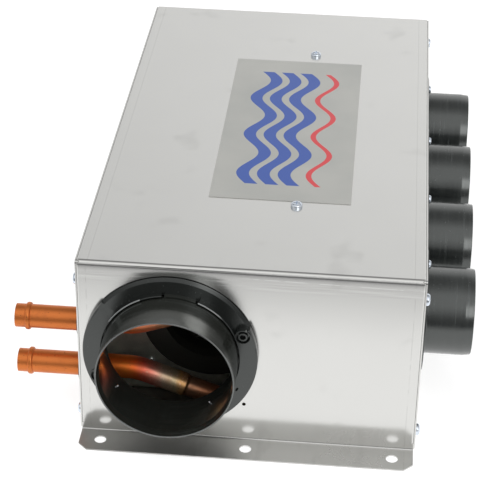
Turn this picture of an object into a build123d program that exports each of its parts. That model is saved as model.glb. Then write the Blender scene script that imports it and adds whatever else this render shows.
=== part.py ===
from build123d import *
import os
from math import cos, isclose, radians, sin, tan

os.makedirs("parts", exist_ok=True)

# Cabin air heater fed with hot water, for a camper: a folded stainless casing with a blower
# and a finned core inside. Millimetres, +Z up, the big air inlet faces -Y and the four air
# outlets face +X. The origin is the centre of the mounting holes on the base plane.

# Casing: one folded sheet makes the top, both ends and the two mounting flanges
sheet = 1.0
casing_width = 224.0
casing_length = 404.0
casing_height = 135.0
top_bend_radius = 3.0
side_bend_radius = 1.3
lip_width = 13.0
flange_width = 22.2
flange_chamfer = 6.2
flange_bend_radius = 2.2
flange_edge_round = 0.4
flange_rise = 6.0
flange_hole_radius = 4.0
flange_hole_inset = 11.0
flange_hole_side_inset = 14.0
relief_radius = 1.5
pilot_hole_radius = 1.25
pilot_hole_place = (-2.3, 29.9)

# Base tray and side panels
tray_gap = 0.1
tray_side_lip = 18.0
tray_end_lip = 10.0
tray_bend_radius = 2.0
panel_inset = 0.6
panel_corner_radius = 2.0
panel_screw_inset = 8.0
panel_screw_low = 12.5
panel_screw_high = 116.5

# Pan-head screws of the casing
screw_head_radius = 4.0
screw_head_height = 2.6
screw_shank_radius = 1.9
screw_length = 8.0
screw_play = 0.3
thread_play = 0.05
edge_match = 0.01
recess_length_share = 1.15
recess_width = 0.9
recess_depth = 1.4
recess_depth_share = 0.6
head_round_share = 0.6
screw_tip_share = 0.5
small_head_radius = 3.0
small_head_height = 1.8
small_shank_radius = 1.4
small_screw_length = 7.5

# Label plate on the top
label_width = 97.0
label_length = 218.0
label_thickness = 0.4
label_corner_radius = 1.0
label_centre_x = 12.3
label_centre_from_front = 200.0

# Air inlet: a ring outside the sheet clamps a spigot whose flange lies inside
inlet_x = -51.1
inlet_z = 69.2
spigot_radius = 45.2
spigot_wall = 2.2
spigot_reach = 34.5
spigot_flange_radius = 54.0
spigot_flange_thickness = 2.2
spigot_play = 0.4
spigot_root_step = 0.8
spigot_mouth_step = 1.2
spigot_mouth_depth = 5.0
rim_round_share = 0.35
ring_radius = 57.7
ring_gasket = 0.8
ring_thickness = 5.2
ring_edge_radius = 1.0
ring_lip_wall = 1.2
ring_bore_round = 0.5
ring_lip_round = 0.4
ring_recess_start = 25.0
ring_recess_sweep = 115.5
ring_recess_depth = 3.6
ring_recess_ramp = 3.2
ring_bevel_width = 2.2
ring_bevel_depth = 1.2
ring_notch_start = 66.5
ring_notch_sweep = 29.7
ring_stop_start = 58.0
ring_stop_sweep = 8.0
ring_stop_width = 2.6
ring_stop_drop = 0.8
ring_cut_margin = 1.0
lug_rise = 1.0
lug_side_play = 2.0
lug_thickness = 3.0
ring_screw_radius = 51.4
ring_screw_angle = 21.4
ring_screw_count = 2
ring_boss_radius = 5.3
ring_boss_rise = 0.6
ring_counterbore_radius = 4.7
ring_counterbore_depth = 3.2
screw_tube_radius = 3.0
screw_tube_bore_radius = 1.95
screw_tube_drop = 0.3
ring_slot_radius = 50.1
ring_slot_angle = -27.6
ring_slot_length = 3.0
ring_slot_width = 1.4
ring_slot_depth = 2.4
ring_screw_head_radius = 1.7
ring_screw_head_height = 1.4
ring_screw_shank_radius = 1.1
spigot_screw_angles = (-144.6, -50.8)
spigot_screw_from_ring = 2.8
spigot_screw_radius = 0.9
spigot_screw_sink = 0.3
spigot_screw_tip = 1.4
spigot_screw_slot_width = 0.4
spigot_screw_slot_depth = 0.6

# Air outlets
outlet_count = 4
outlet_pitch = 88.25
outlet_row_shift = 2.1
outlet_z = 67.4
outlet_radius = 30.0
outlet_wall = 2.0
outlet_reach = 34.6
outlet_tip_length = 6.0
outlet_tip_taper = 7.0
outlet_flange_radius = 41.8
outlet_flange_thickness = 1.6
outlet_flange_fillet = 1.2
outlet_gasket = 0.6
outlet_neck = 3.0
outlet_neck_play = 0.4
outlet_screw_radius = 36.0

# Hose tails and water pipes
tail_radius = 8.0
tail_wall = 0.85
tail_reach = 45.5
tail_from_front = 25.0
tail_low_z = 36.7
tail_high_z = 73.3
tail_bead_radius = 9.3
tail_bead_width = 3.4
tail_bead_from_end = 8.5
bead_round_share = 0.9
tail_bend_x = -77.6
tail_bend_radius = 40.0
tail_slope = 20.0
tail_end_x = -45.0
core_pipe_wall = 0.8
pipe_fit = 0.05
pipe_insertion = 10.0
core_pipe_low_z = 15.5
core_pipe_high_z = 98.0
core_pipe_turn_radius = 24.0
core_pipe_level_radius = 30.0
grommet_radius = 12.0
grommet_face = 3.0
grommet_neck_radius = 10.0
grommet_back_radius = 11.0
grommet_back = 1.6
grommet_edge_radius = 1.0

# Finned core: hairpin tubes along the casing between two headers and a back plate
core_x = 53.0
core_depth = 42.0
core_low_z = 8.0
core_high_z = 128.0
hairpin_leg_spacing = 24.0
hairpin_rows = 4
hairpin_pitch = 30.0
hairpin_radius = 6.0
hairpin_wall = 0.7
hairpin_end_from_front = 382.0
header_from_front = 58.0
header_radius = 11.0
header_wall = 1.0
header_cap = 2.0
header_end_margin = 3.0
header_entry = 2.5
core_front_from_front = 74.0
core_back_from_front = 377.0
plenum_wall_gap = 3.0
fin_pitch = 6.0
fin_thickness = 0.4
fin_margin = 3.0
fin_collar_wall = 0.45
tube_play = 0.1
bracket_flange = 14.5
bracket_web = 15.0
bracket_bend_radius = 1.6
bracket_core_gap = 0.5
top_screw_x = 24.3
top_screws_from_front = (85.2, 322.2)

# Partition between the inlet chamber and the blower chamber
wall_gap = 0.3
partition_from_front = 50.0
partition_edge_x = 28.0
partition_foot = 12.0
partition_bend_radius = 2.0

# Blower
blower_x = -29.0
blower_z = 67.0
nozzle_flange_radius = 48.6
nozzle_flange_thickness = 3.5
nozzle_edge_share = 0.4
nozzle_mouth_share = 0.6
nozzle_mouth_radius = 37.0
nozzle_throat_radius = 31.0
nozzle_wall = 1.6
nozzle_throat_length = 11.0
nozzle_screw_radius = 44.5
nozzle_screw_count = 4
nozzle_screw_angle = 45.0
nozzle_screw_length = 4.0
nozzle_screw_room = 0.2
impeller_radius = 50.0
impeller_eye_gap = 1.4
impeller_eye_wall = 1.5
impeller_eye_length = 6.0
impeller_overlap = 2.0
impeller_depth = 24.0
impeller_plate = 2.0
impeller_blade_count = 7
impeller_blade_thickness = 1.6
impeller_blade_inner_radius = 25.0
impeller_blade_lean = 42.0
impeller_blade_middle_lean = 16.8
impeller_hub_radius = 9.0
impeller_hub_length = 8.0
shaft_radius = 4.0
shaft_fit = 0.02
shaft_chamfer = 0.6
shaft_clearance = 1.0
bearing_running_gap = 0.03
bearing_radius = 11.0
bearing_width = 7.0
bearing_seat_wall = 3.0
motor_gap = 5.0
motor_radius = 28.0
motor_wall = 2.0
motor_length = 48.0
motor_cap_thickness = 3.0
motor_cap_round = 1.2
seat_fit = 0.05
stator_bore_radius = 17.8
stator_length = 24.0
stator_slots = 12
stator_slot_width = 2.4
stator_slot_depth = 5.5
rotor_air_gap = 0.8
rotor_length = 22.0
motor_plate_size = 100.0
motor_plate_thickness = 2.0
motor_plate_corner = 8.0
motor_screw_radius = 20.0
motor_screw_count = 3
motor_screw_length = 5.0
motor_screw_angle = 90.0
standoff_radius = 4.0
standoff_offset = 43.0
standoff_bore_radius = 1.45

# Cable entry and terminal block
cable_from_left = 34.0
cable_z = 24.0
cable_bore_radius = 3.5
cable_grommet_radius = 7.5
cable_grommet_neck_radius = 5.5
cable_grommet_face = 2.4
terminal_length = 34.0
terminal_width = 14.0
terminal_height = 13.0
terminal_ways = 3
terminal_port_radius = 2.2
terminal_port_height = 5.2
terminal_chamfer = 2.8
terminal_from_rear = 34.0

# Places worked out from the sizes above
half_width = casing_width / 2
half_length = casing_length / 2
flange_hole_spacing = half_width - flange_hole_side_inset
cable_x = cable_from_left - half_width
front_y = -half_length
rear_y = half_length
panel_outside_x = half_width + sheet
tray_half_width = half_width - sheet - tray_gap
tray_half_length = half_length - sheet - tray_gap
clear_side_x = tray_half_width - tray_bend_radius
clear_front_y = -tray_half_length + tray_bend_radius


def behind_front(distance):
    """The y of a place that lies this far behind the front face."""
    return front_y + distance


def facing_front(y):
    """Drawing plane at y: X to the right, Z up, normal towards -Y."""
    return Plane.XZ.offset(-y)


def on_blower_axis(y):
    """Drawing plane at y, centred on the blower's axis, normal towards -Y."""
    return Plane(origin=(blower_x, y, blower_z), x_dir=(1, 0, 0), z_dir=(0, -1, 0))


def seat(point, outward):
    """Seat of a screw head: origin at point, normal outward."""
    return Plane(origin=point, z_dir=outward)


def circles_of_radius(edges, radius):
    """The circular ones among the edges that have this radius."""
    return edges.filter_by(GeomType.CIRCLE).filter_by(
        lambda edge: isclose(edge.radius, radius, abs_tol=edge_match)
    )


def edges_before_sheet(edges, distance):
    """The ones among the edges that lie in a plane this far in front of the front sheet."""
    return edges.filter_by(
        lambda edge: isclose(edge.center().Y, front_y - distance, abs_tol=edge_match)
    )


def pan_screw(head_radius, head_height, shank_radius, shank_length):
    """Pan-head screw with a cross recess: seat at Z = 0, head up, shank down."""
    with BuildPart() as screw:
        with BuildSketch():
            Circle(head_radius)
        extrude(amount=head_height)
        fillet(screw.edges().group_by(Axis.Z)[-1], head_height * head_round_share)
        with BuildSketch():
            Circle(shank_radius)
        extrude(amount=-shank_length)
        chamfer(screw.edges().group_by(Axis.Z)[0], shank_radius * screw_tip_share)
        with BuildSketch(Plane.XY.offset(head_height)):
            Rectangle(head_radius * recess_length_share, recess_width)
            Rectangle(recess_width, head_radius * recess_length_share)
        extrude(amount=-min(recess_depth, head_height * recess_depth_share), mode=Mode.SUBTRACT)
    return screw.part


def finish_piece(builder, name):
    """Name a finished piece and write it to its own STEP file."""
    builder.part.label = name
    export_step(builder.part, f"parts/{name}.step")


panel_screw = pan_screw(screw_head_radius, screw_head_height, screw_shank_radius, screw_length)
small_screw = pan_screw(small_head_radius, small_head_height, small_shank_radius, small_screw_length)
ring_screw = pan_screw(
    ring_screw_head_radius, ring_screw_head_height, ring_screw_shank_radius, small_screw_length
)

# Screw places on the side panels: near the four corners of each
panel_screw_ys = (behind_front(panel_screw_inset), rear_y - panel_screw_inset)
panel_screw_zs = (panel_screw_low, panel_screw_high)
top_screw_places = [(top_screw_x, behind_front(distance)) for distance in top_screws_from_front]

# Outlet places along the right side: the row's middle lies a little behind the casing's
outlet_ys = [
    outlet_row_shift + (index - (outlet_count - 1) / 2) * outlet_pitch
    for index in range(outlet_count)
]

# Inlet plane on the front sheet, and the places of its screws round the spigot
inlet_plane = Plane(origin=(inlet_x, front_y, inlet_z), x_dir=(1, 0, 0), z_dir=(0, -1, 0))
sheet_hole_radius = spigot_radius + spigot_play
ring_screw_points = [
    (
        ring_screw_radius * cos(radians(ring_screw_angle + index * 360 / ring_screw_count)),
        ring_screw_radius * sin(radians(ring_screw_angle + index * 360 / ring_screw_count)),
    )
    for index in range(ring_screw_count)
]
tail_y = behind_front(tail_from_front)
cable_plane = Plane(origin=(cable_x, rear_y, cable_z), x_dir=(-1, 0, 0), z_dir=(0, 1, 0))

# Casing cover: a shell for the top, the ends and the side lips, then the two flanges
with BuildPart() as casing_cover:
    with BuildSketch(Plane.XY.offset(flange_rise)):
        Rectangle(casing_width, casing_length)
    extrude(amount=casing_height - flange_rise)
    fillet(casing_cover.faces().sort_by(Axis.Z)[-1].edges().filter_by(Axis.X), top_bend_radius)
    side_faces = casing_cover.faces().filter_by(Axis.X)
    side_edges = [edge for face in side_faces for edge in face.edges() if edge.center().Z > flange_rise]
    fillet(side_edges, side_bend_radius)
    offset(amount=-sheet, openings=casing_cover.faces().sort_by(Axis.Z)[0])
    with BuildSketch(Plane.YZ.offset(-half_width - sheet)):
        with Locations((0, (flange_rise + casing_height) / 2 - lip_width)):
            Rectangle(casing_length - 2 * lip_width, casing_height - flange_rise)
    extrude(amount=casing_width + 2 * sheet, mode=Mode.SUBTRACT)
    for end in (-1, 1):
        with BuildSketch(Plane.YZ.offset(-half_width)):
            with BuildLine():
                FilletPolyline(
                    (end * (half_length + flange_width), sheet / 2),
                    (end * (half_length - sheet / 2), sheet / 2),
                    (end * (half_length - sheet / 2), flange_rise),
                    radius=flange_bend_radius - sheet / 2,
                )
            trace(line_width=sheet)
        extrude(amount=casing_width)
    flange_corners = casing_cover.edges().filter_by(Axis.Z).group_by(Axis.Y)
    chamfer(flange_corners[0] + flange_corners[-1], flange_chamfer)
    top_edges = casing_cover.edges().filter_by(Axis.X).filter_by(
        lambda edge: isclose(edge.center().Z, sheet, abs_tol=edge_match)
    )
    rim_edges = top_edges.group_by(Axis.Y)
    fillet(rim_edges[0] + rim_edges[-1], flange_edge_round)
    with BuildSketch():
        with GridLocations(flange_hole_spacing, casing_length + 2 * flange_hole_inset, 3, 2):
            Circle(flange_hole_radius)
    extrude(amount=sheet, mode=Mode.SUBTRACT)
    with BuildSketch(inlet_plane):
        Circle(sheet_hole_radius)
        with Locations(*ring_screw_points):
            Circle(ring_screw_shank_radius + screw_play)
        with Locations((pilot_hole_place[0] - inlet_x, pilot_hole_place[1] - inlet_z)):
            Circle(pilot_hole_radius)
    extrude(amount=-2 * sheet, mode=Mode.SUBTRACT)
    with BuildSketch(cable_plane):
        Circle(cable_grommet_neck_radius)
    extrude(amount=-2 * sheet, mode=Mode.SUBTRACT)
    with BuildSketch(Plane.XY.offset(casing_height)):
        with Locations(*top_screw_places):
            Circle(screw_shank_radius + screw_play)
    extrude(amount=-2 * sheet, mode=Mode.SUBTRACT)
    with BuildSketch(Plane.YZ.offset(-half_width)):
        for screw_y in panel_screw_ys:
            for screw_z in panel_screw_zs:
                with Locations((screw_y, screw_z)):
                    Circle(screw_shank_radius + thread_play)
    extrude(amount=casing_width, mode=Mode.SUBTRACT)
    with Locations(
        [
            (side * (half_width - sheet / 2), end * (half_length - sheet / 2), casing_height - sheet / 2)
            for side in (-1, 1)
            for end in (-1, 1)
        ]
    ):
        Sphere(relief_radius, mode=Mode.SUBTRACT)
finish_piece(casing_cover, "casing_cover")

# Base tray: the floor with its sides and ends turned up inside the cover
with BuildPart() as base_plate:
    with BuildSketch(Plane.XZ.offset(-tray_half_length + tray_end_lip)):
        with BuildLine():
            FilletPolyline(
                (-tray_half_width + sheet / 2, tray_side_lip),
                (-tray_half_width + sheet / 2, sheet / 2),
                (tray_half_width - sheet / 2, sheet / 2),
                (tray_half_width - sheet / 2, tray_side_lip),
                radius=tray_bend_radius - sheet / 2,
            )
        trace(line_width=sheet)
    extrude(amount=2 * (tray_half_length - tray_end_lip))
    with BuildSketch(Plane.YZ.offset(-tray_half_width + tray_bend_radius)):
        with BuildLine():
            FilletPolyline(
                (-tray_half_length + sheet / 2, tray_end_lip),
                (-tray_half_length + sheet / 2, sheet / 2),
                (tray_half_length - sheet / 2, sheet / 2),
                (tray_half_length - sheet / 2, tray_end_lip),
                radius=tray_bend_radius - sheet / 2,
            )
        trace(line_width=sheet)
    extrude(amount=2 * (tray_half_width - tray_bend_radius))
finish_piece(base_plate, "base_plate")

# Side panels: flat sheets over the cover's lips
panel_low_z = panel_inset
panel_high_z = casing_height - panel_inset
panel_middle_z = (panel_low_z + panel_high_z) / 2


def blank_side_panel(plane):
    """Side panel with its corner screw holes, drawn on a plane whose local Y is Z."""
    with BuildPart() as panel:
        with BuildSketch(plane):
            with Locations((0, panel_middle_z)):
                RectangleRounded(
                    casing_length - 2 * panel_inset, panel_high_z - panel_low_z, panel_corner_radius
                )
            for screw_y in panel_screw_ys:
                for screw_z in panel_screw_zs:
                    with Locations((screw_y, screw_z)):
                        Circle(screw_shank_radius + screw_play, mode=Mode.SUBTRACT)
        extrude(amount=sheet)
    return panel.part


blank_left_panel = blank_side_panel(Plane.YZ.offset(-panel_outside_x))
blank_right_panel = blank_side_panel(Plane.YZ.offset(half_width))

with BuildPart() as left_side_panel:
    add(blank_left_panel)
    with BuildSketch(Plane.YZ.offset(-panel_outside_x)):
        with Locations((tail_y, tail_low_z), (tail_y, tail_high_z)):
            Circle(grommet_neck_radius)
    extrude(amount=sheet, mode=Mode.SUBTRACT)
finish_piece(left_side_panel, "left_side_panel")

with BuildPart() as right_side_panel:
    add(blank_right_panel)
    with BuildSketch(Plane.YZ.offset(half_width)):
        for outlet_y in outlet_ys:
            with Locations((outlet_y, outlet_z)):
                Circle(outlet_radius)
            with Locations(
                (outlet_y, outlet_z - outlet_screw_radius), (outlet_y, outlet_z + outlet_screw_radius)
            ):
                Circle(small_shank_radius + thread_play)
    extrude(amount=sheet, mode=Mode.SUBTRACT)
finish_piece(right_side_panel, "right_side_panel")

with BuildPart() as side_panel_screws:
    for side in (-1, 1):
        for screw_y in panel_screw_ys:
            for screw_z in panel_screw_zs:
                with Locations(seat((side * panel_outside_x, screw_y, screw_z), (side, 0, 0))):
                    add(panel_screw)
finish_piece(side_panel_screws, "side_panel_screws")

with BuildPart() as top_screws:
    for screw_x, screw_y in top_screw_places:
        with Locations(seat((screw_x, screw_y, casing_height), (0, 0, 1))):
            add(panel_screw)
finish_piece(top_screws, "top_screws")

label_centre_y = behind_front(label_centre_from_front)
with BuildPart() as label_plate:
    with BuildSketch(Plane.XY.offset(casing_height)):
        with Locations((label_centre_x, label_centre_y)):
            RectangleRounded(label_width, label_length, label_corner_radius)
    extrude(amount=label_thickness)
finish_piece(label_plate, "label_plate")

# Inlet ring: a thick ring round the spigot. One sector is thin, with a bevelled edge, so that
# its inner lip stands free. The lip has a notch with a stop block beside it, and each of the
# two bosses holds a screw tube
ring_bore_radius = sheet_hole_radius
ring_lip_radius = ring_bore_radius + ring_lip_wall
ring_face = ring_gasket + ring_thickness
ring_floor = ring_face - ring_recess_depth
ring_cut_radius = ring_radius + ring_cut_margin
ring_notch_radius = (ring_bore_radius + ring_lip_radius) / 2
ring_stop_outer = ring_lip_radius + ring_stop_width
ring_screw_seat = ring_face + ring_boss_rise - ring_counterbore_depth
ramp_angle = radians(ring_recess_start + ring_recess_sweep)
ramp_plane = Plane(
    origin=(
        inlet_x + ring_lip_radius * cos(ramp_angle),
        front_y,
        inlet_z + ring_lip_radius * sin(ramp_angle),
    ),
    x_dir=(-sin(ramp_angle), 0, cos(ramp_angle)),
    z_dir=(cos(ramp_angle), 0, sin(ramp_angle)),
)
with BuildPart() as inlet_ring:
    with BuildSketch(inlet_plane.offset(ring_gasket)):
        Circle(ring_radius)
        Circle(ring_bore_radius, mode=Mode.SUBTRACT)
    extrude(amount=ring_thickness)
    front_edges = edges_before_sheet(inlet_ring.edges(), ring_face)
    fillet(circles_of_radius(front_edges, ring_radius), ring_edge_radius)
    front_edges = edges_before_sheet(inlet_ring.edges(), ring_face)
    fillet(circles_of_radius(front_edges, ring_bore_radius), ring_bore_round)
    with BuildSketch(inlet_plane.offset(ring_face)):
        with BuildLine():
            CenterArc(
                (0, 0), (ring_lip_radius + ring_cut_radius) / 2, ring_recess_start, ring_recess_sweep
            )
        trace(line_width=ring_cut_radius - ring_lip_radius)
    extrude(amount=-ring_recess_depth, mode=Mode.SUBTRACT)
    floor_edges = circles_of_radius(edges_before_sheet(inlet_ring.edges(), ring_floor), ring_radius)
    floor_face = inlet_ring.faces().filter_by(
        lambda face: isclose(face.center().Y, front_y - ring_floor, abs_tol=edge_match)
    )[0]
    chamfer(floor_edges, ring_bevel_width, ring_bevel_depth, reference=floor_face)
    lip_edges = circles_of_radius(edges_before_sheet(inlet_ring.edges(), ring_face), ring_lip_radius)
    fillet(lip_edges, ring_lip_round)
    with BuildSketch(ramp_plane):
        with BuildLine():
            Polyline(
                (-ring_cut_margin, ring_floor),
                (0, ring_floor),
                (ring_recess_ramp, ring_face),
                (ring_recess_ramp, ring_face + ring_cut_margin),
                (-ring_cut_margin, ring_face + ring_cut_margin),
                close=True,
            )
        make_face()
    extrude(amount=ring_cut_radius - ring_lip_radius, mode=Mode.SUBTRACT)
    with BuildSketch(inlet_plane.offset(ring_floor)):
        with BuildLine():
            CenterArc(
                (0, 0), (ring_lip_radius - ring_lip_wall / 2 + ring_stop_outer) / 2,
                ring_stop_start, ring_stop_sweep,
            )
        trace(line_width=ring_stop_outer - ring_lip_radius + ring_lip_wall / 2)
    extrude(amount=ring_recess_depth - ring_stop_drop)
    with BuildSketch(inlet_plane.offset(ring_gasket)):
        with Locations(*ring_screw_points):
            Circle(ring_boss_radius)
    extrude(amount=ring_thickness + ring_boss_rise)
    with BuildSketch(inlet_plane.offset(ring_face + ring_boss_rise)):
        with Locations(*ring_screw_points):
            Circle(ring_counterbore_radius)
    extrude(amount=-ring_counterbore_depth, mode=Mode.SUBTRACT)
    with BuildSketch(inlet_plane.offset(ring_screw_seat)):
        with Locations(*ring_screw_points):
            Circle(screw_tube_radius)
            Circle(screw_tube_bore_radius, mode=Mode.SUBTRACT)
    extrude(amount=ring_counterbore_depth - screw_tube_drop)
    with BuildSketch(inlet_plane):
        with Locations(*ring_screw_points):
            Circle(ring_screw_shank_radius + screw_play)
    extrude(amount=ring_face, mode=Mode.SUBTRACT)
    with BuildSketch(inlet_plane.offset(ring_face)):
        with PolarLocations(ring_slot_radius, 1, start_angle=ring_slot_angle):
            SlotOverall(ring_slot_length, ring_slot_width, rotation=90)
    extrude(amount=-ring_slot_depth, mode=Mode.SUBTRACT)
    with BuildSketch(inlet_plane.offset(ring_face)):
        with BuildLine():
            CenterArc((0, 0), ring_notch_radius, ring_notch_start, ring_notch_sweep)
        trace(line_width=2 * ring_lip_wall)
    extrude(amount=-ring_recess_depth, mode=Mode.SUBTRACT)
finish_piece(inlet_ring, "inlet_ring")

with BuildPart() as inlet_ring_gasket:
    with BuildSketch(inlet_plane):
        Circle(ring_radius - ring_gasket)
        Circle(ring_bore_radius, mode=Mode.SUBTRACT)
        with Locations(*ring_screw_points):
            Circle(ring_screw_shank_radius + screw_play, mode=Mode.SUBTRACT)
    extrude(amount=ring_gasket)
finish_piece(inlet_ring_gasket, "inlet_ring_gasket")

# Inlet spigot: a tube with a flange inside the sheet and a lug in the ring's notch
spigot_inner_radius = spigot_radius - spigot_wall
spigot_root_radius = spigot_radius - spigot_root_step
lug_inner_radius = spigot_root_radius - spigot_wall / 2
lug_outer_radius = spigot_radius + lug_rise
lug_start = ring_notch_start + lug_side_play
lug_sweep = ring_notch_sweep - 2 * lug_side_play
spigot_screw_reach = ring_face + spigot_screw_from_ring
spigot_screw_seat = spigot_radius - spigot_screw_sink
spigot_screw_length = spigot_wall - spigot_screw_sink + spigot_screw_tip
spigot_screw_planes = [
    Plane(
        origin=(
            inlet_x + spigot_screw_seat * cos(radians(angle)),
            behind_front(-spigot_screw_reach),
            inlet_z + spigot_screw_seat * sin(radians(angle)),
        ),
        z_dir=(cos(radians(angle)), 0, sin(radians(angle))),
    )
    for angle in spigot_screw_angles
]
with BuildPart() as inlet_spigot:
    with BuildSketch(inlet_plane.offset(-sheet - spigot_flange_thickness)):
        Circle(spigot_flange_radius)
    extrude(amount=spigot_flange_thickness)
    with BuildSketch(inlet_plane.offset(-sheet - spigot_flange_thickness)):
        Circle(spigot_root_radius)
    extrude(amount=sheet + spigot_flange_thickness + ring_face)
    with BuildSketch(inlet_plane.offset(ring_face)):
        Circle(spigot_radius)
    extrude(amount=spigot_reach - ring_face)
    with BuildSketch(inlet_plane.offset(-sheet - spigot_flange_thickness)):
        Circle(spigot_inner_radius)
    extrude(amount=sheet + spigot_flange_thickness + spigot_reach, mode=Mode.SUBTRACT)
    rim_face = inlet_spigot.faces().sort_by(Axis.Y)[0]
    rim_edges = edges_before_sheet(inlet_spigot.edges(), spigot_reach)
    mouth_edge = circles_of_radius(rim_edges, spigot_inner_radius)
    chamfer(mouth_edge, spigot_mouth_step, spigot_mouth_depth, reference=rim_face)
    rim_edges = edges_before_sheet(inlet_spigot.edges(), spigot_reach)
    fillet(rim_edges, (spigot_wall - spigot_mouth_step) * rim_round_share)
    with BuildSketch(inlet_plane.offset(ring_floor)):
        with BuildLine():
            CenterArc((0, 0), (lug_inner_radius + lug_outer_radius) / 2, lug_start, lug_sweep)
        trace(line_width=lug_outer_radius - lug_inner_radius)
    extrude(amount=lug_thickness)
    with BuildSketch(inlet_plane.offset(-sheet)):
        with Locations(*ring_screw_points):
            Circle(ring_screw_shank_radius + thread_play)
    extrude(amount=-spigot_flange_thickness, mode=Mode.SUBTRACT)
    with Locations(*spigot_screw_planes):
        Cylinder(spigot_screw_radius + thread_play, 4 * spigot_wall, mode=Mode.SUBTRACT)
finish_piece(inlet_spigot, "inlet_spigot")

with BuildPart() as inlet_ring_screws:
    for point in ring_screw_points:
        centre = (inlet_x + point[0], front_y - ring_screw_seat, inlet_z + point[1])
        with Locations(seat(centre, (0, -1, 0))):
            add(ring_screw)
finish_piece(inlet_ring_screws, "inlet_ring_screws")

# Headless screws, sunk just below the spigot's wall, with their tips inside
with BuildPart() as headless_screw:
    with BuildSketch():
        Circle(spigot_screw_radius)
    extrude(amount=-spigot_screw_length)
    chamfer(headless_screw.edges().group_by(Axis.Z)[0], spigot_screw_radius * screw_tip_share)
    with BuildSketch():
        Rectangle(4 * spigot_screw_radius, spigot_screw_slot_width)
    extrude(amount=-spigot_screw_slot_depth, mode=Mode.SUBTRACT)
with BuildPart() as spigot_screws:
    with Locations(*spigot_screw_planes):
        add(headless_screw.part)
finish_piece(spigot_screws, "spigot_screws")

# Air outlets: four plastic flanged tubes screwed to the right panel over gaskets
outlet_inner_radius = outlet_radius - outlet_wall
outlet_neck_radius = outlet_radius - outlet_neck_play
outlet_flange_x = panel_outside_x + outlet_gasket
outlet_tip_x = panel_outside_x + outlet_reach
for number, outlet_y in enumerate(outlet_ys, start=1):
    outlet_base = Plane.YZ.offset(panel_outside_x + outlet_gasket)
    outlet_screw_points = (
        (outlet_y, outlet_z - outlet_screw_radius),
        (outlet_y, outlet_z + outlet_screw_radius),
    )
    with BuildPart() as outlet:
        with BuildSketch(outlet_base):
            with Locations((outlet_y, outlet_z)):
                Circle(outlet_flange_radius)
        extrude(amount=outlet_flange_thickness)
        with BuildSketch(outlet_base):
            with Locations((outlet_y, outlet_z)):
                Circle(outlet_radius)
        extrude(amount=outlet_reach - outlet_gasket - outlet_tip_length)
        root_edge = circles_of_radius(outlet.edges(), outlet_radius).sort_by(Axis.X)[0]
        fillet(root_edge, outlet_flange_fillet)
        with BuildSketch(Plane.YZ.offset(outlet_tip_x - outlet_tip_length)):
            with Locations((outlet_y, outlet_z)):
                Circle(outlet_radius)
        extrude(amount=outlet_tip_length, taper=outlet_tip_taper)
        fillet(outlet.edges().group_by(Axis.X)[-1], outlet_wall * rim_round_share)
        with BuildSketch(Plane.YZ.offset(half_width - outlet_neck)):
            with Locations((outlet_y, outlet_z)):
                Circle(outlet_neck_radius)
        extrude(amount=outlet_neck + sheet + outlet_gasket)
        with BuildSketch(Plane.YZ.offset(half_width - outlet_neck)):
            with Locations((outlet_y, outlet_z)):
                Circle(outlet_inner_radius)
        extrude(amount=outlet_neck + sheet + outlet_reach, mode=Mode.SUBTRACT)
        with BuildSketch(outlet_base):
            with Locations(*outlet_screw_points):
                Circle(small_shank_radius + screw_play)
        extrude(amount=outlet_flange_thickness, mode=Mode.SUBTRACT)
    finish_piece(outlet, f"outlet_{number}")

with BuildPart() as outlet_gaskets:
    for outlet_y in outlet_ys:
        with BuildSketch(Plane.YZ.offset(panel_outside_x)):
            with Locations((outlet_y, outlet_z)):
                Circle(outlet_flange_radius - outlet_gasket)
                Circle(outlet_radius, mode=Mode.SUBTRACT)
            with Locations(
                (outlet_y, outlet_z - outlet_screw_radius), (outlet_y, outlet_z + outlet_screw_radius)
            ):
                Circle(small_shank_radius + screw_play, mode=Mode.SUBTRACT)
        extrude(amount=outlet_gasket)
finish_piece(outlet_gaskets, "outlet_gaskets")

with BuildPart() as outlet_screws:
    for outlet_y in outlet_ys:
        for side in (-1, 1):
            head_seat = (
                outlet_flange_x + outlet_flange_thickness,
                outlet_y,
                outlet_z + side * outlet_screw_radius,
            )
            with Locations(seat(head_seat, (1, 0, 0))):
                add(small_screw)
finish_piece(outlet_screws, "outlet_screws")

# Hose tails: copper tubes with a hose bead, straight through the left panel, then sloping
# towards the core; each ends round a thinner core pipe
tail_tip_x = -panel_outside_x - tail_reach
tail_inner_radius = tail_radius - tail_wall
core_pipe_radius = tail_inner_radius - pipe_fit
core_pipe_inner_radius = core_pipe_radius - core_pipe_wall
header_y = behind_front(header_from_front)
header_front_y = header_y - header_radius
flow_header_x = core_x - hairpin_leg_spacing / 2
return_header_x = core_x + hairpin_leg_spacing / 2
slope_rise = tan(radians(tail_slope))


def sloping_z(x, start_z, direction):
    """Height of a pipe's centre line at x, past the bend where it leaves the level."""
    return start_z + direction * slope_rise * (x - tail_bend_x)


def pipe(points, radii, outer_radius, inner_radius, bead_x=None):
    """Open pipe along straight runs joined by arcs; a bead may stand on its first run."""
    start = Vector(*points[0])
    along = Vector(*points[1]) - start
    with BuildPart() as tube:
        with BuildLine() as route:
            FilletPolyline(*points, radius=radii)
        start_plane = Plane(origin=start, z_dir=along)
        with BuildSketch(start_plane):
            Circle(outer_radius)
        sweep(path=route.line)
        if bead_x is not None:
            bead_start = Plane(origin=(bead_x, start.Y, start.Z), z_dir=along)
            with BuildSketch(bead_start):
                Circle(tail_bead_radius)
                Circle(outer_radius, mode=Mode.SUBTRACT)
            extrude(amount=tail_bead_width)
            bead_edges = circles_of_radius(tube.edges(), tail_bead_radius)
            fillet(bead_edges, (tail_bead_radius - outer_radius) * bead_round_share)
        with BuildSketch(start_plane):
            Circle(inner_radius)
        sweep(path=route.line, mode=Mode.SUBTRACT)
    return tube.part


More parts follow.
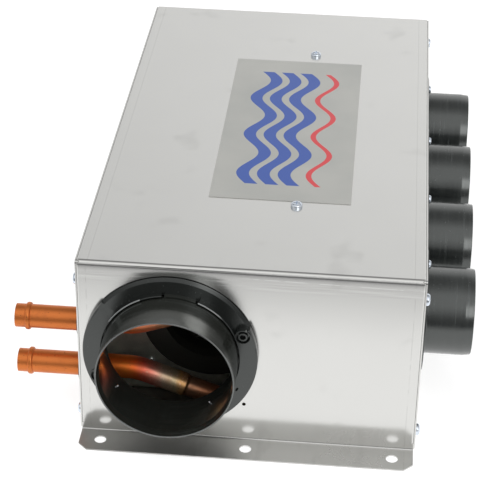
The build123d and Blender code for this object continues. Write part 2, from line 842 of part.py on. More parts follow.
pipe_runs = {
    "flow": (tail_high_z, 1, core_pipe_high_z, flow_header_x),
    "return": (tail_low_z, -1, core_pipe_low_z, return_header_x),
}
for name, (start_z, direction, level_z, header_x) in pipe_runs.items():
    tail_points = [
        (tail_tip_x, tail_y, start_z),
        (tail_bend_x, tail_y, start_z),
        (tail_end_x, tail_y, sloping_z(tail_end_x, start_z, direction)),
    ]
    tail_part = pipe(
        tail_points,
        tail_bend_radius,
        tail_radius,
        tail_inner_radius,
        tail_tip_x + tail_bead_from_end - tail_bead_width / 2,
    )
    with BuildPart() as hose_tail:
        add(tail_part)
    finish_piece(hose_tail, f"{name}_hose_tail")

    start_x = tail_end_x - pipe_insertion * cos(radians(tail_slope))
    level_x = tail_bend_x + (level_z - start_z) * direction / slope_rise
    core_pipe_points = [
        (start_x, tail_y, sloping_z(start_x, start_z, direction)),
        (level_x, tail_y, level_z),
        (header_x, tail_y, level_z),
        (header_x, header_front_y + header_entry, level_z),
    ]
    core_pipe_part = pipe(
        core_pipe_points,
        (core_pipe_level_radius, core_pipe_turn_radius - header_entry),
        core_pipe_radius,
        core_pipe_inner_radius,
    )
    with BuildPart() as core_pipe:
        add(core_pipe_part)
    finish_piece(core_pipe, f"{name}_core_pipe")

# Rubber grommets where the hose tails pass the left panel
with BuildPart() as pipe_grommets:
    for grommet_z in (tail_low_z, tail_high_z):
        grommet_plane = Plane(
            origin=(-panel_outside_x, tail_y, grommet_z), x_dir=(0, -1, 0), z_dir=(-1, 0, 0)
        )
        with BuildSketch(grommet_plane):
            Circle(grommet_radius)
        extrude(amount=grommet_face)
        with BuildSketch(grommet_plane):
            Circle(grommet_neck_radius - tube_play)
        extrude(amount=-sheet)
        with BuildSketch(grommet_plane.offset(-sheet)):
            Circle(grommet_back_radius)
        extrude(amount=-grommet_back)
        with BuildSketch(grommet_plane.offset(grommet_face)):
            Circle(tail_radius + pipe_fit)
        extrude(amount=-grommet_face - sheet - grommet_back, mode=Mode.SUBTRACT)
    face_edges = pipe_grommets.edges().group_by(Axis.X)[0]
    fillet(circles_of_radius(face_edges, grommet_radius), grommet_edge_radius)
finish_piece(pipe_grommets, "pipe_grommets")

# Core: hairpin tubes, fins, headers, end plates and the two angle brackets
hairpin_zs = [
    (core_low_z + core_high_z) / 2 + (row - (hairpin_rows - 1) / 2) * hairpin_pitch
    for row in range(hairpin_rows)
]
hairpin_start_y = header_y + header_radius - header_entry
hairpin_end_y = behind_front(hairpin_end_from_front)
hairpin_inner_radius = hairpin_radius - hairpin_wall
with BuildPart() as core_hairpins:
    for hairpin_z in hairpin_zs:
        with BuildLine() as hairpin_route:
            Line((flow_header_x, hairpin_start_y, hairpin_z), (flow_header_x, hairpin_end_y, hairpin_z))
            ThreePointArc(
                (flow_header_x, hairpin_end_y, hairpin_z),
                (core_x, hairpin_end_y + hairpin_leg_spacing / 2, hairpin_z),
                (return_header_x, hairpin_end_y, hairpin_z),
            )
            Line((return_header_x, hairpin_end_y, hairpin_z), (return_header_x, hairpin_start_y, hairpin_z))
        with BuildSketch(Plane(origin=(flow_header_x, hairpin_start_y, hairpin_z), z_dir=(0, 1, 0))):
            Circle(hairpin_radius)
            Circle(hairpin_inner_radius, mode=Mode.SUBTRACT)
        sweep(path=hairpin_route.line)
finish_piece(core_hairpins, "core_hairpins")

core_front_y = behind_front(core_front_from_front)
core_back_y = behind_front(core_back_from_front)
fin_start_y = core_front_y + sheet + fin_margin
fin_end_y = core_back_y - fin_margin
fin_count = int((fin_end_y - fin_start_y - fin_thickness) / fin_pitch) + 1
tube_hole_radius = hairpin_radius + tube_play
collar_radius = tube_hole_radius + fin_collar_wall
core_middle_z = (core_low_z + core_high_z) / 2
fin_stack_length = (fin_count - 1) * fin_pitch + fin_thickness
with BuildPart() as core_fins:
    fin_planes = [facing_front(fin_start_y + index * fin_pitch) for index in range(fin_count)]
    with BuildSketch(*fin_planes):
        with Locations((core_x, core_middle_z)):
            Rectangle(core_depth, core_high_z - core_low_z)
            with GridLocations(hairpin_leg_spacing, hairpin_pitch, 2, hairpin_rows):
                Circle(tube_hole_radius, mode=Mode.SUBTRACT)
    extrude(amount=-fin_thickness)
    with BuildSketch(facing_front(fin_start_y)):
        with Locations((core_x, core_middle_z)):
            with GridLocations(hairpin_leg_spacing, hairpin_pitch, 2, hairpin_rows):
                Circle(collar_radius)
                Circle(tube_hole_radius, mode=Mode.SUBTRACT)
    extrude(amount=-fin_stack_length)
finish_piece(core_fins, "core_fins")

header_low_z = core_low_z - header_end_margin
header_high_z = core_high_z - header_end_margin
for name, (start_z, direction, level_z, header_x) in pipe_runs.items():
    with BuildPart() as header:
        with BuildSketch(Plane.XY.offset(header_low_z)):
            with Locations((header_x, header_y)):
                Circle(header_radius)
        extrude(amount=header_high_z - header_low_z)
        fillet(header.edges().filter_by(GeomType.CIRCLE), header_wall)
        with BuildSketch(Plane.XY.offset(header_low_z + header_cap)):
            with Locations((header_x, header_y)):
                Circle(header_radius - header_wall)
        extrude(amount=header_high_z - header_low_z - 2 * header_cap, mode=Mode.SUBTRACT)
        with BuildSketch(facing_front(header_y)):
            for hairpin_z in hairpin_zs:
                with Locations((header_x, hairpin_z)):
                    Circle(hairpin_radius + pipe_fit)
        extrude(amount=-header_radius, mode=Mode.SUBTRACT)
        with BuildSketch(facing_front(header_y)):
            with Locations((header_x, level_z)):
                Circle(core_pipe_radius + pipe_fit)
        extrude(amount=header_radius, mode=Mode.SUBTRACT)
    finish_piece(header, f"{name}_header")

plate_low_z = sheet
floor_flange_z = sheet + sheet / 2
roof_flange_z = casing_height - sheet - sheet / 2
plate_high_z = casing_height - sheet - wall_gap
plenum_wall_x = core_x + core_depth / 2 + plenum_wall_gap
with BuildPart() as core_front_plate:
    with BuildSketch(Plane.XY.offset(plate_low_z)):
        with BuildLine():
            FilletPolyline(
                (partition_edge_x, core_front_y + sheet / 2),
                (plenum_wall_x, core_front_y + sheet / 2),
                (plenum_wall_x, clear_front_y),
                radius=partition_bend_radius - sheet / 2,
            )
        trace(line_width=sheet)
    extrude(amount=plate_high_z - plate_low_z)
    with BuildSketch(facing_front(core_front_y)):
        with Locations((core_x, core_middle_z)):
            with GridLocations(hairpin_leg_spacing, hairpin_pitch, 2, hairpin_rows):
                Circle(tube_hole_radius)
    extrude(amount=-sheet, mode=Mode.SUBTRACT)
finish_piece(core_front_plate, "core_front_plate")

with BuildPart() as core_back_plate:
    with BuildSketch(facing_front(core_back_y)):
        with Locations(((partition_edge_x + clear_side_x) / 2, (plate_low_z + plate_high_z) / 2)):
            Rectangle(clear_side_x - partition_edge_x, plate_high_z - plate_low_z)
        with Locations((core_x, core_middle_z)):
            with GridLocations(hairpin_leg_spacing, hairpin_pitch, 2, hairpin_rows):
                Circle(tube_hole_radius, mode=Mode.SUBTRACT)
    extrude(amount=-sheet)
finish_piece(core_back_plate, "core_back_plate")

bracket_web_x = core_x - core_depth / 2 - bracket_core_gap - sheet / 2
bracket_length = core_back_y - core_front_y - sheet - 2 * fin_margin
bracket_middle_y = (core_front_y + sheet + core_back_y) / 2


def angle_bracket(flange_z, turn):
    """Angle strip along the core: its flange on a sheet, its web beside the fins."""
    with BuildPart() as bracket:
        with BuildSketch(facing_front(bracket_middle_y - bracket_length / 2)):
            with BuildLine():
                FilletPolyline(
                    (bracket_web_x - bracket_flange, flange_z),
                    (bracket_web_x, flange_z),
                    (bracket_web_x, flange_z + turn * bracket_web),
                    radius=bracket_bend_radius,
                )
            trace(line_width=sheet)
        extrude(amount=-bracket_length)
    return bracket.part


top_bracket_blank = angle_bracket(roof_flange_z, -1)
bottom_bracket_blank = angle_bracket(floor_flange_z, 1)

with BuildPart() as core_top_bracket:
    add(top_bracket_blank)
    with BuildSketch(Plane.XY.offset(casing_height - sheet)):
        with Locations(*top_screw_places):
            Circle(screw_shank_radius + thread_play)
    extrude(amount=-sheet, mode=Mode.SUBTRACT)
finish_piece(core_top_bracket, "core_top_bracket")

with BuildPart() as core_bottom_bracket:
    add(bottom_bracket_blank)
finish_piece(core_bottom_bracket, "core_bottom_bracket")

# Partition: carries the blower and parts the inlet chamber from the rest
partition_y = behind_front(partition_from_front)
partition_back_y = partition_y + sheet
blower_plane = on_blower_axis(partition_y)
nozzle_throat_outer = nozzle_throat_radius + nozzle_wall
standoff_points = [
    (side * standoff_offset, end * standoff_offset) for side in (-1, 1) for end in (-1, 1)
]
nozzle_screw_points = [
    (
        nozzle_screw_radius * cos(radians(nozzle_screw_angle + index * 360 / nozzle_screw_count)),
        nozzle_screw_radius * sin(radians(nozzle_screw_angle + index * 360 / nozzle_screw_count)),
    )
    for index in range(nozzle_screw_count)
]
partition_low_z = sheet + partition_bend_radius
with BuildPart() as blower_partition:
    with BuildSketch(Plane.XY.offset(partition_low_z)):
        with BuildLine():
            FilletPolyline(
                (-clear_side_x, partition_y + sheet / 2),
                (partition_edge_x - wall_gap - sheet / 2, partition_y + sheet / 2),
                (partition_edge_x - wall_gap - sheet / 2, core_front_y - wall_gap),
                radius=partition_bend_radius - sheet / 2,
            )
        trace(line_width=sheet)
    extrude(amount=plate_high_z - partition_low_z)
    with BuildSketch(Plane.YZ.offset(-clear_side_x)):
        with BuildLine():
            FilletPolyline(
                (partition_y + sheet / 2, partition_low_z + sheet),
                (partition_y + sheet / 2, floor_flange_z),
                (partition_y + partition_foot, floor_flange_z),
                radius=partition_bend_radius - sheet / 2,
            )
        trace(line_width=sheet)
    extrude(amount=clear_side_x + partition_edge_x - wall_gap - partition_bend_radius)
    with BuildSketch(blower_plane):
        Circle(nozzle_throat_outer + tube_play)
        with Locations(*standoff_points):
            Circle(small_shank_radius + screw_play)
        with Locations(*nozzle_screw_points):
            Circle(small_shank_radius + screw_play)
    extrude(amount=-sheet, mode=Mode.SUBTRACT)
finish_piece(blower_partition, "blower_partition")

# Inlet nozzle: a bell mouth on the partition that leads into the impeller's eye
with BuildPart() as inlet_nozzle:
    with BuildSketch(blower_plane):
        Circle(nozzle_flange_radius)
    extrude(amount=nozzle_flange_thickness)
    fillet(inlet_nozzle.edges().group_by(Axis.Y)[0], nozzle_flange_thickness * nozzle_edge_share)
    with BuildSketch(blower_plane):
        Circle(nozzle_throat_outer)
    extrude(amount=-nozzle_throat_length)
    with BuildSketch(blower_plane.offset(nozzle_flange_thickness)):
        Circle(nozzle_throat_radius)
    extrude(amount=-nozzle_flange_thickness - nozzle_throat_length, mode=Mode.SUBTRACT)
    mouth_edge = inlet_nozzle.edges().group_by(Axis.Y)[0].sort_by(SortBy.RADIUS)[0]
    mouth_length = nozzle_flange_thickness * nozzle_mouth_share
    chamfer(mouth_edge, mouth_length, nozzle_mouth_radius - nozzle_throat_radius)
    with BuildSketch(blower_plane):
        with Locations(*nozzle_screw_points):
            Circle(small_shank_radius + thread_play)
    extrude(amount=nozzle_screw_length - sheet + nozzle_screw_room, mode=Mode.SUBTRACT)
finish_piece(inlet_nozzle, "inlet_nozzle")

nozzle_screw = pan_screw(small_head_radius, small_head_height, small_shank_radius, nozzle_screw_length)
with BuildPart() as nozzle_screws:
    for point in nozzle_screw_points:
        centre = (blower_x + point[0], partition_back_y, blower_z + point[1])
        with Locations(seat(centre, (0, 1, 0))):
            add(nozzle_screw)
finish_piece(nozzle_screws, "nozzle_screws")

# Impeller: shroud with an eye, curved blades, back plate and hub, on the motor shaft
throat_end_y = partition_y + nozzle_throat_length
eye_y = throat_end_y - impeller_overlap
shroud_y = eye_y + impeller_eye_length
impeller_back_y = shroud_y + impeller_depth
hub_front_y = impeller_back_y + impeller_plate - impeller_hub_length
eye_radius = nozzle_throat_outer + impeller_eye_gap
blade_middle_radius = (impeller_blade_inner_radius + impeller_radius) / 2
blade_tip_radius = impeller_radius - impeller_blade_thickness
with BuildSketch() as blade_profile:
    with BuildLine():
        ThreePointArc(
            (impeller_blade_inner_radius, 0),
            (
                blade_middle_radius * cos(radians(impeller_blade_middle_lean)),
                -blade_middle_radius * sin(radians(impeller_blade_middle_lean)),
            ),
            (
                blade_tip_radius * cos(radians(impeller_blade_lean)),
                -blade_tip_radius * sin(radians(impeller_blade_lean)),
            ),
        )
    trace(line_width=impeller_blade_thickness)

with BuildPart() as impeller:
    with BuildSketch(on_blower_axis(shroud_y)):
        Circle(impeller_radius)
        Circle(eye_radius, mode=Mode.SUBTRACT)
    extrude(amount=-impeller_eye_wall)
    with BuildSketch(on_blower_axis(eye_y)):
        Circle(eye_radius + impeller_eye_wall)
        Circle(eye_radius, mode=Mode.SUBTRACT)
    extrude(amount=-impeller_eye_length - impeller_eye_wall)
    with BuildSketch(on_blower_axis(impeller_back_y)):
        Circle(impeller_radius)
    extrude(amount=-impeller_plate)
    with BuildSketch(on_blower_axis(shroud_y)):
        with PolarLocations(0, impeller_blade_count):
            add(blade_profile.sketch)
    extrude(amount=-impeller_depth)
    with BuildSketch(on_blower_axis(hub_front_y)):
        Circle(impeller_hub_radius)
    extrude(amount=-impeller_hub_length)
    with BuildSketch(on_blower_axis(hub_front_y)):
        Circle(shaft_radius + shaft_fit)
    extrude(amount=-impeller_hub_length, mode=Mode.SUBTRACT)
finish_piece(impeller, "impeller")

# Motor: front cap and can with a bearing in each, stator in the can, rotor on the shaft
motor_front_y = impeller_back_y + impeller_plate + motor_gap
motor_can_y = motor_front_y + motor_cap_thickness
motor_back_y = motor_front_y + motor_length
bearing_seat_radius = bearing_radius + seat_fit
bearing_boss_radius = bearing_radius + bearing_seat_wall
bearing_clear_radius = shaft_radius + shaft_clearance
front_bearing_y = motor_front_y + motor_wall
rear_bearing_y = motor_back_y - motor_wall - bearing_width
motor_inner_radius = motor_radius - motor_wall
motor_plate_y = motor_back_y
motor_screw_points = [
    (
        motor_screw_radius * cos(radians(motor_screw_angle + index * 360 / motor_screw_count)),
        motor_screw_radius * sin(radians(motor_screw_angle + index * 360 / motor_screw_count)),
    )
    for index in range(motor_screw_count)
]
motor_screw = pan_screw(small_head_radius, small_head_height, small_shank_radius, motor_screw_length)
motor_screw_boss = motor_screw_length - motor_plate_thickness

with BuildPart() as fan_shaft:
    with BuildSketch(on_blower_axis(hub_front_y)):
        Circle(shaft_radius)
    extrude(amount=-(motor_back_y - hub_front_y))
    chamfer(fan_shaft.edges().filter_by(GeomType.CIRCLE), shaft_chamfer)
finish_piece(fan_shaft, "fan_shaft")

with BuildPart() as motor_end_cap:
    with BuildSketch(on_blower_axis(motor_front_y)):
        Circle(motor_radius)
    extrude(amount=-motor_cap_thickness)
    fillet(motor_end_cap.edges().group_by(Axis.Y)[0], motor_cap_round)
    with BuildSketch(on_blower_axis(motor_front_y)):
        Circle(bearing_boss_radius)
    extrude(amount=-motor_wall - bearing_width)
    with BuildSketch(on_blower_axis(front_bearing_y)):
        Circle(bearing_seat_radius)
    extrude(amount=-bearing_width, mode=Mode.SUBTRACT)
    with BuildSketch(on_blower_axis(motor_front_y)):
        Circle(bearing_clear_radius)
    extrude(amount=-motor_wall, mode=Mode.SUBTRACT)
finish_piece(motor_end_cap, "motor_end_cap")

with BuildPart() as motor_can:
    with BuildSketch(on_blower_axis(motor_can_y)):
        Circle(motor_radius)
    extrude(amount=-(motor_back_y - motor_can_y))
    with BuildSketch(on_blower_axis(motor_can_y)):
        Circle(motor_inner_radius)
    extrude(amount=-(motor_back_y - motor_can_y - motor_wall), mode=Mode.SUBTRACT)
    with BuildSketch(on_blower_axis(motor_back_y - motor_wall)):
        Circle(bearing_boss_radius)
    extrude(amount=bearing_width)
    with BuildSketch(on_blower_axis(motor_back_y - motor_wall)):
        with Locations(*motor_screw_points):
            Circle(2 * small_shank_radius)
    extrude(amount=motor_screw_boss)
    with BuildSketch(on_blower_axis(motor_back_y - motor_wall)):
        Circle(bearing_seat_radius)
    extrude(amount=bearing_width, mode=Mode.SUBTRACT)
    with BuildSketch(on_blower_axis(motor_back_y)):
        Circle(bearing_clear_radius)
        with Locations(*motor_screw_points):
            Circle(small_shank_radius + thread_play)
    extrude(amount=motor_wall + motor_screw_boss, mode=Mode.SUBTRACT)
finish_piece(motor_can, "motor_can")

for name, bearing_y in (("front_bearing", front_bearing_y), ("rear_bearing", rear_bearing_y)):
    with BuildPart() as bearing:
        with BuildSketch(on_blower_axis(bearing_y)):
            Circle(bearing_radius)
            Circle(shaft_radius + bearing_running_gap, mode=Mode.SUBTRACT)
        extrude(amount=-bearing_width)
    finish_piece(bearing, name)

stator_y = (motor_can_y + bearing_width + rear_bearing_y) / 2 - stator_length / 2
with BuildPart() as stator:
    with BuildSketch(on_blower_axis(stator_y)):
        Circle(motor_inner_radius - seat_fit)
        Circle(stator_bore_radius, mode=Mode.SUBTRACT)
        with PolarLocations(stator_bore_radius, stator_slots):
            Rectangle(2 * stator_slot_depth, stator_slot_width, mode=Mode.SUBTRACT)
    extrude(amount=-stator_length)
finish_piece(stator, "stator")

with BuildPart() as rotor:
    with BuildSketch(on_blower_axis(stator_y + (stator_length - rotor_length) / 2)):
        Circle(stator_bore_radius - rotor_air_gap)
        Circle(shaft_radius + shaft_fit, mode=Mode.SUBTRACT)
    extrude(amount=-rotor_length)
finish_piece(rotor, "rotor")

with BuildPart() as motor_plate:
    with BuildSketch(on_blower_axis(motor_plate_y)):
        RectangleRounded(motor_plate_size, motor_plate_size, motor_plate_corner)
        Circle(bearing_clear_radius, mode=Mode.SUBTRACT)
        with Locations(*standoff_points):
            Circle(small_shank_radius + screw_play, mode=Mode.SUBTRACT)
        with Locations(*motor_screw_points):
            Circle(small_shank_radius + screw_play, mode=Mode.SUBTRACT)
    extrude(amount=-motor_plate_thickness)
finish_piece(motor_plate, "motor_plate")

with BuildPart() as motor_standoffs:
    with BuildSketch(on_blower_axis(partition_back_y)):
        with Locations(*standoff_points):
            Circle(standoff_radius)
            Circle(standoff_bore_radius, mode=Mode.SUBTRACT)
    extrude(amount=-(motor_plate_y - partition_back_y))
finish_piece(motor_standoffs, "motor_standoffs")

motor_plate_back_y = motor_plate_y + motor_plate_thickness
with BuildPart() as standoff_screws:
    for x, z in standoff_points:
        with Locations(
            seat((blower_x + x, partition_y, blower_z + z), (0, -1, 0)),
            seat((blower_x + x, motor_plate_back_y, blower_z + z), (0, 1, 0)),
        ):
            add(small_screw)
finish_piece(standoff_screws, "standoff_screws")

with BuildPart() as motor_screws:
    for x, z in motor_screw_points:
        with Locations(seat((blower_x + x, motor_plate_back_y, blower_z + z), (0, 1, 0))):
            add(motor_screw)
finish_piece(motor_screws, "motor_screws")

# Cable entry in the rear end and the terminal block on the floor behind it
with BuildPart() as cable_grommet:
    with BuildSketch(cable_plane):
        Circle(cable_grommet_radius)
    extrude(amount=cable_grommet_face)
    fillet(cable_grommet.edges().group_by(Axis.Y)[-1], grommet_edge_radius)
    with BuildSketch(cable_plane):
        Circle(cable_grommet_neck_radius - tube_play)
    extrude(amount=-sheet)
    with BuildSketch(cable_plane.offset(-sheet)):
        Circle(cable_grommet_radius)
    extrude(amount=-grommet_back)
    with BuildSketch(cable_plane.offset(cable_grommet_face)):
        Circle(cable_bore_radius)
    extrude(amount=-cable_grommet_face - sheet - grommet_back, mode=Mode.SUBTRACT)
finish_piece(cable_grommet, "cable_grommet")

terminal_pitch = terminal_length / terminal_ways
terminal_y = rear_y - terminal_from_rear
with BuildPart() as terminal_block:
    with BuildSketch(Plane.XY.offset(sheet)):
        with Locations((cable_x, terminal_y)):
            Rectangle(terminal_length, terminal_width)
    extrude(amount=terminal_height)
    chamfer(terminal_block.edges().group_by(Axis.Z)[-1].filter_by(Axis.X), terminal_chamfer)
    with BuildSketch(facing_front(terminal_y - terminal_width / 2)):
        with Locations((cable_x, sheet + terminal_port_height)):
            with GridLocations(terminal_pitch, 1, terminal_ways, 1):
                Circle(terminal_port_radius)
    extrude(amount=-terminal_width, mode=Mode.SUBTRACT)
finish_piece(terminal_block, "terminal_block")
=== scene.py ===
# %% [markdown]
# A cabin air heater: a folded stainless box that takes hot water in copper tubes and blows warm
# air out of four round plastic outlets. The construction comes ready from the frame, in metres,
# and every piece stands where it belongs. This script gives each piece its finish, adds what is
# too fine for the construction model, and sets up the studio and the camera.

# %% Load the frame
import math

import bpy
import numpy as np
from mathutils import Matrix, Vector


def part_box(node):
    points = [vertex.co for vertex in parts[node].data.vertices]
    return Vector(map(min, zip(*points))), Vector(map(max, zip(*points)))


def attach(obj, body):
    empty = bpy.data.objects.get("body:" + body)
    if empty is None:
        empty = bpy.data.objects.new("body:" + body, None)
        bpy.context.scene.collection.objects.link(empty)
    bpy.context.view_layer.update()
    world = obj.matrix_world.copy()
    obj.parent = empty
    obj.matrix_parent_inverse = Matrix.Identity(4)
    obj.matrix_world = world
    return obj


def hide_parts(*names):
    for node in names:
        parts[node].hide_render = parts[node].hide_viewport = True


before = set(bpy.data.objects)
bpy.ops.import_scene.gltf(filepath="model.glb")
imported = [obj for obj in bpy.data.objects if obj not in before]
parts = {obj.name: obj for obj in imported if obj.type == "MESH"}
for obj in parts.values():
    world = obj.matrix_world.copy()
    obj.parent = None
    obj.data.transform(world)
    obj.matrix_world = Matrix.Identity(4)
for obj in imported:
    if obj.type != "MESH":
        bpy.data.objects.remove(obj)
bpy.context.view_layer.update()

MM = 0.001
print("pieces in the frame:", len(parts))

# %% [markdown]
# The camera stands in front of the heater, a little to the right and well above it. It could be
# turned by hand until the picture looks right. Here its place and turn were worked out from the
# edges of the box, whose size is known, so that every piece lies where it lies in the photograph.
# The lens is long, because the box's edges draw together only slowly. Yaw turns the camera about
# the vertical, pitch tips it down and roll leans it sideways.

# %% Camera
eye = np.array([73.1, -1148.8, 737.8]) * MM
yaw, pitch, roll = 0.081, 0.548, 0.017
focal_pixels = 1769.06
picture_width = 489
sensor_width = 36.0


def camera_axes(yaw, pitch, roll):
    """Right, up and forward of a camera that is turned by yaw, tipped down by pitch and rolled.

    forward = (-sin yaw cos pitch, cos yaw cos pitch, -sin pitch); the level right and up are
    turned about forward by roll.
    """
    forward = np.array(
        [
            -math.sin(yaw) * math.cos(pitch),
            math.cos(yaw) * math.cos(pitch),
            -math.sin(pitch),
        ]
    )
    level_right = np.array([math.cos(yaw), math.sin(yaw), 0.0])
    level_up = np.cross(level_right, forward)
    right = math.cos(roll) * level_right + math.sin(roll) * level_up
    up = -math.sin(roll) * level_right + math.cos(roll) * level_up
    return right, up, forward


right, up, forward = camera_axes(yaw, pitch, roll)
camera_data = bpy.data.cameras.new("camera")
camera_data.sensor_width = sensor_width
camera_data.lens = focal_pixels * sensor_width / picture_width
camera = bpy.data.objects.new("camera", camera_data)
turn = np.column_stack([right, up, -forward])
camera.matrix_world = Matrix.Translation(eye.tolist()) @ Matrix(turn.tolist()).to_4x4()
bpy.context.scene.collection.objects.link(camera)
bpy.context.scene.camera = camera
bpy.context.scene.view_settings.view_transform = "Standard"
print("lens in mm:", round(camera_data.lens, 1))

# %% [markdown]
# Materials are built from nodes. They could be joined one by one, but a formula of ten sums then
# takes fifty lines. So a Wire wraps the output of a node, and the signs + - * / on it add Math
# nodes, which lets a formula be written as a formula. A Look holds the node tree, and its method
# node adds any other node: first its settings, then the values or wires of its sockets.


# %% Node helpers
class Wire:
    """One value on its way through a node tree; sums on it add Math nodes."""

    def __init__(self, look, socket):
        self.look = look
        self.socket = socket

    def __add__(self, other):
        return self.look.sum("ADD", self, other)

    __radd__ = __add__

    def __sub__(self, other):
        return self.look.sum("SUBTRACT", self, other)

    def __rsub__(self, other):
        return self.look.sum("SUBTRACT", other, self)

    def __mul__(self, other):
        return self.look.sum("MULTIPLY", self, other)

    __rmul__ = __mul__

    def __truediv__(self, other):
        return self.look.sum("DIVIDE", self, other)

    def __abs__(self):
        return self.look.sum("ABSOLUTE", self)


class Look:
    """A node tree under construction."""

    def __init__(self, tree):
        self.tree = tree
        self.tree.nodes.clear()

    def node(self, kind, settings=None, inputs=None, output=0):
        """Add a node of this kind and return a wire from one of its outputs."""
        made = self.tree.nodes.new(kind)
        for name, value in (settings or {}).items():
            if name == "stops":
                self.set_stops(made.color_ramp, value)
            else:
                setattr(made, name, value)
        for name, value in (inputs or {}).items():
            if isinstance(value, Wire):
                self.tree.links.new(value.socket, made.inputs[name])
            else:
                made.inputs[name].default_value = value
        return Wire(self, made.outputs[output]) if len(made.outputs) else made

    def set_stops(self, ramp, stops):
        """Put the (place, colour) stops on a colour ramp."""
        while len(ramp.elements) < len(stops):
            ramp.elements.new(1.0)
        for element, (place, colour) in zip(ramp.elements, stops):
            element.position = place
            element.color = (*colour, 1.0)

    def sum(self, operation, *values):
        """Add a Math node on one or two values or wires."""
        inputs = dict(enumerate(values))
        return self.node("ShaderNodeMath", {"operation": operation}, inputs)

    def place(self):
        """The point's place on the object, in metres."""
        return self.node("ShaderNodeTexCoord", output="Object")

    def axes(self, vector):
        """The three numbers of a vector."""
        first = self.node("ShaderNodeSeparateXYZ", inputs={0: vector})
        split = first.socket.node
        return [Wire(self, split.outputs[index]) for index in range(3)]

    def noise(self, place, size, detail=3.0, stretch=(1.0, 1.0, 1.0), roughness=0.5):
        """Cloudy noise from 0 to 1 whose blobs are about this size in metres."""
        scaled = self.node("ShaderNodeMapping", inputs={"Vector": place, "Scale": stretch})
        inputs = {"Vector": scaled, "Scale": 1.0 / size, "Detail": detail, "Roughness": roughness}
        return self.node("ShaderNodeTexNoise", inputs=inputs)

    def fade(self, value, start, end, low=0.0, high=1.0):
        """A smooth step from low at start to high at end."""
        settings = {"interpolation_type": "SMOOTHSTEP", "clamp": True}
        inputs = {0: value, 1: start, 2: end, 3: low, 4: high}
        return self.node("ShaderNodeMapRange", settings, inputs)

    def ramp(self, value, stops):
        """A colour that follows a value through (place, colour) stops."""
        return self.node("ShaderNodeValToRGB", {"stops": stops}, {0: value})

    def mix(self, share, first, second):
        """A colour between two, by share from 0 to 1."""
        first = first if isinstance(first, Wire) else (*first, 1.0)
        second = second if isinstance(second, Wire) else (*second, 1.0)
        inputs = {0: share, 6: first, 7: second}
        return self.node("ShaderNodeMix", {"data_type": "RGBA"}, inputs, 2)

    def bump(self, height, distance):
        """A normal that follows a relief; height times distance is its height in metres."""
        return self.node("ShaderNodeBump", inputs={"Height": height, "Distance": distance})

    def surface(self, **values):
        """Principled shader from socket names written with underscores, joined to the output."""
        inputs = {name.replace("_", " "): value for name, value in values.items()}
        for name, value in inputs.items():
            if isinstance(value, tuple) and len(value) == 3:
                inputs[name] = (*value, 1.0)
        shader = self.node("ShaderNodeBsdfPrincipled", inputs=inputs)
        self.node("ShaderNodeOutputMaterial", inputs={"Surface": shader})


def new_finish(name):
    """An empty material and the Look that fills it."""
    material = bpy.data.materials.new(name)
    material.use_nodes = True
    return material, Look(material.node_tree)


# %% [markdown]
# The studio's room. Bright metal and dark plastic show little but the room around them, so its
# bands make the look of the bends and the outlets. A photograph of a studio could be wrapped
# round the scene. Here the room is a dome of light that is worked out from the direction, so it
# needs no picture and each band can be set by itself: white behind the heater, dim overhead, a
# broad soft light above the camera and a dark strip below that. The camera sees plain white.

# %% Room light
white = (1.0, 1.0, 1.0)
# Degrees from the front horizon over the top to the rear horizon, and the brightness there
room_bands = [
    (0, 0.16),
    (8, 0.22),
    (18, 0.36),
    (28, 0.60),
    (44, 0.94),
    (74, 0.92),
    (90, 0.50),
    (104, 0.27),
    (120, 0.24),
    (132, 0.36),
    (144, 0.76),
    (156, 0.88),
    (180, 0.90),
]
# Where something starts and ends is given by east, north or height of a direction of length 1
side_brightness = 0.62
side_start, side_end = 0.55, 0.95
rear_left_share = 0.82
rear_start, rear_end = 0.0, 0.3
left_start, left_end = 0.08, -0.28
mirror_gain = 1.15
# A tall soft lamp stands in front on the right
lamp_east = 0.40
lamp_edge, lamp_core = 0.26, 0.10
lamp_foot_start, lamp_foot_end = 0.22, 0.36
lamp_head_start, lamp_head_end = 0.78, 0.60
lamp_rear, lamp_front = -0.1, -0.3
lamp_brightness = 2.7

world = bpy.data.worlds.new("room")
bpy.context.scene.world = world
world.use_nodes = True
room = Look(world.node_tree)
direction = room.node("ShaderNodeTexCoord", output="Generated")
east, north, height = room.axes(direction)
elevation = room.sum("ARCTAN2", height, north * -1.0) / math.pi
bands = room.ramp(elevation, [(angle / 180, (value,) * 3) for angle, value in room_bands])
sideways = room.fade(abs(east), side_start, side_end)
round_room = room.mix(sideways, bands, (side_brightness,) * 3)
leftward = room.fade(east, left_start, left_end) * room.fade(north, rear_start, rear_end)
dim = room.node(
    "ShaderNodeVectorMath", {"operation": "SCALE"}, {0: round_room, "Scale": rear_left_share}
)
dome = room.mix(leftward, round_room, dim)
lamp_width = room.fade(abs(east - lamp_east), lamp_edge, lamp_core)
lamp_width = lamp_width * room.fade(north, lamp_rear, lamp_front)
lamp_rise = room.fade(height, lamp_foot_start, lamp_foot_end)
lamp_rise = lamp_rise * room.fade(height, lamp_head_start, lamp_head_end)
dome = room.mix(lamp_width * lamp_rise, dome, (lamp_brightness,) * 3)
in_mirror = room.node("ShaderNodeLightPath", output="Is Glossy Ray")
mirror_strength = 1.0 + in_mirror * (mirror_gain - 1.0)
seen = room.node("ShaderNodeLightPath", output="Is Camera Ray")
strength = mirror_strength * (1.0 - seen) + seen
sky = room.node(
    "ShaderNodeBackground", inputs={"Color": room.mix(seen, dome, white), "Strength": strength}
)
room.node("ShaderNodeOutputWorld", inputs={"Surface": sky})
print("bands in the room:", len(room_bands))

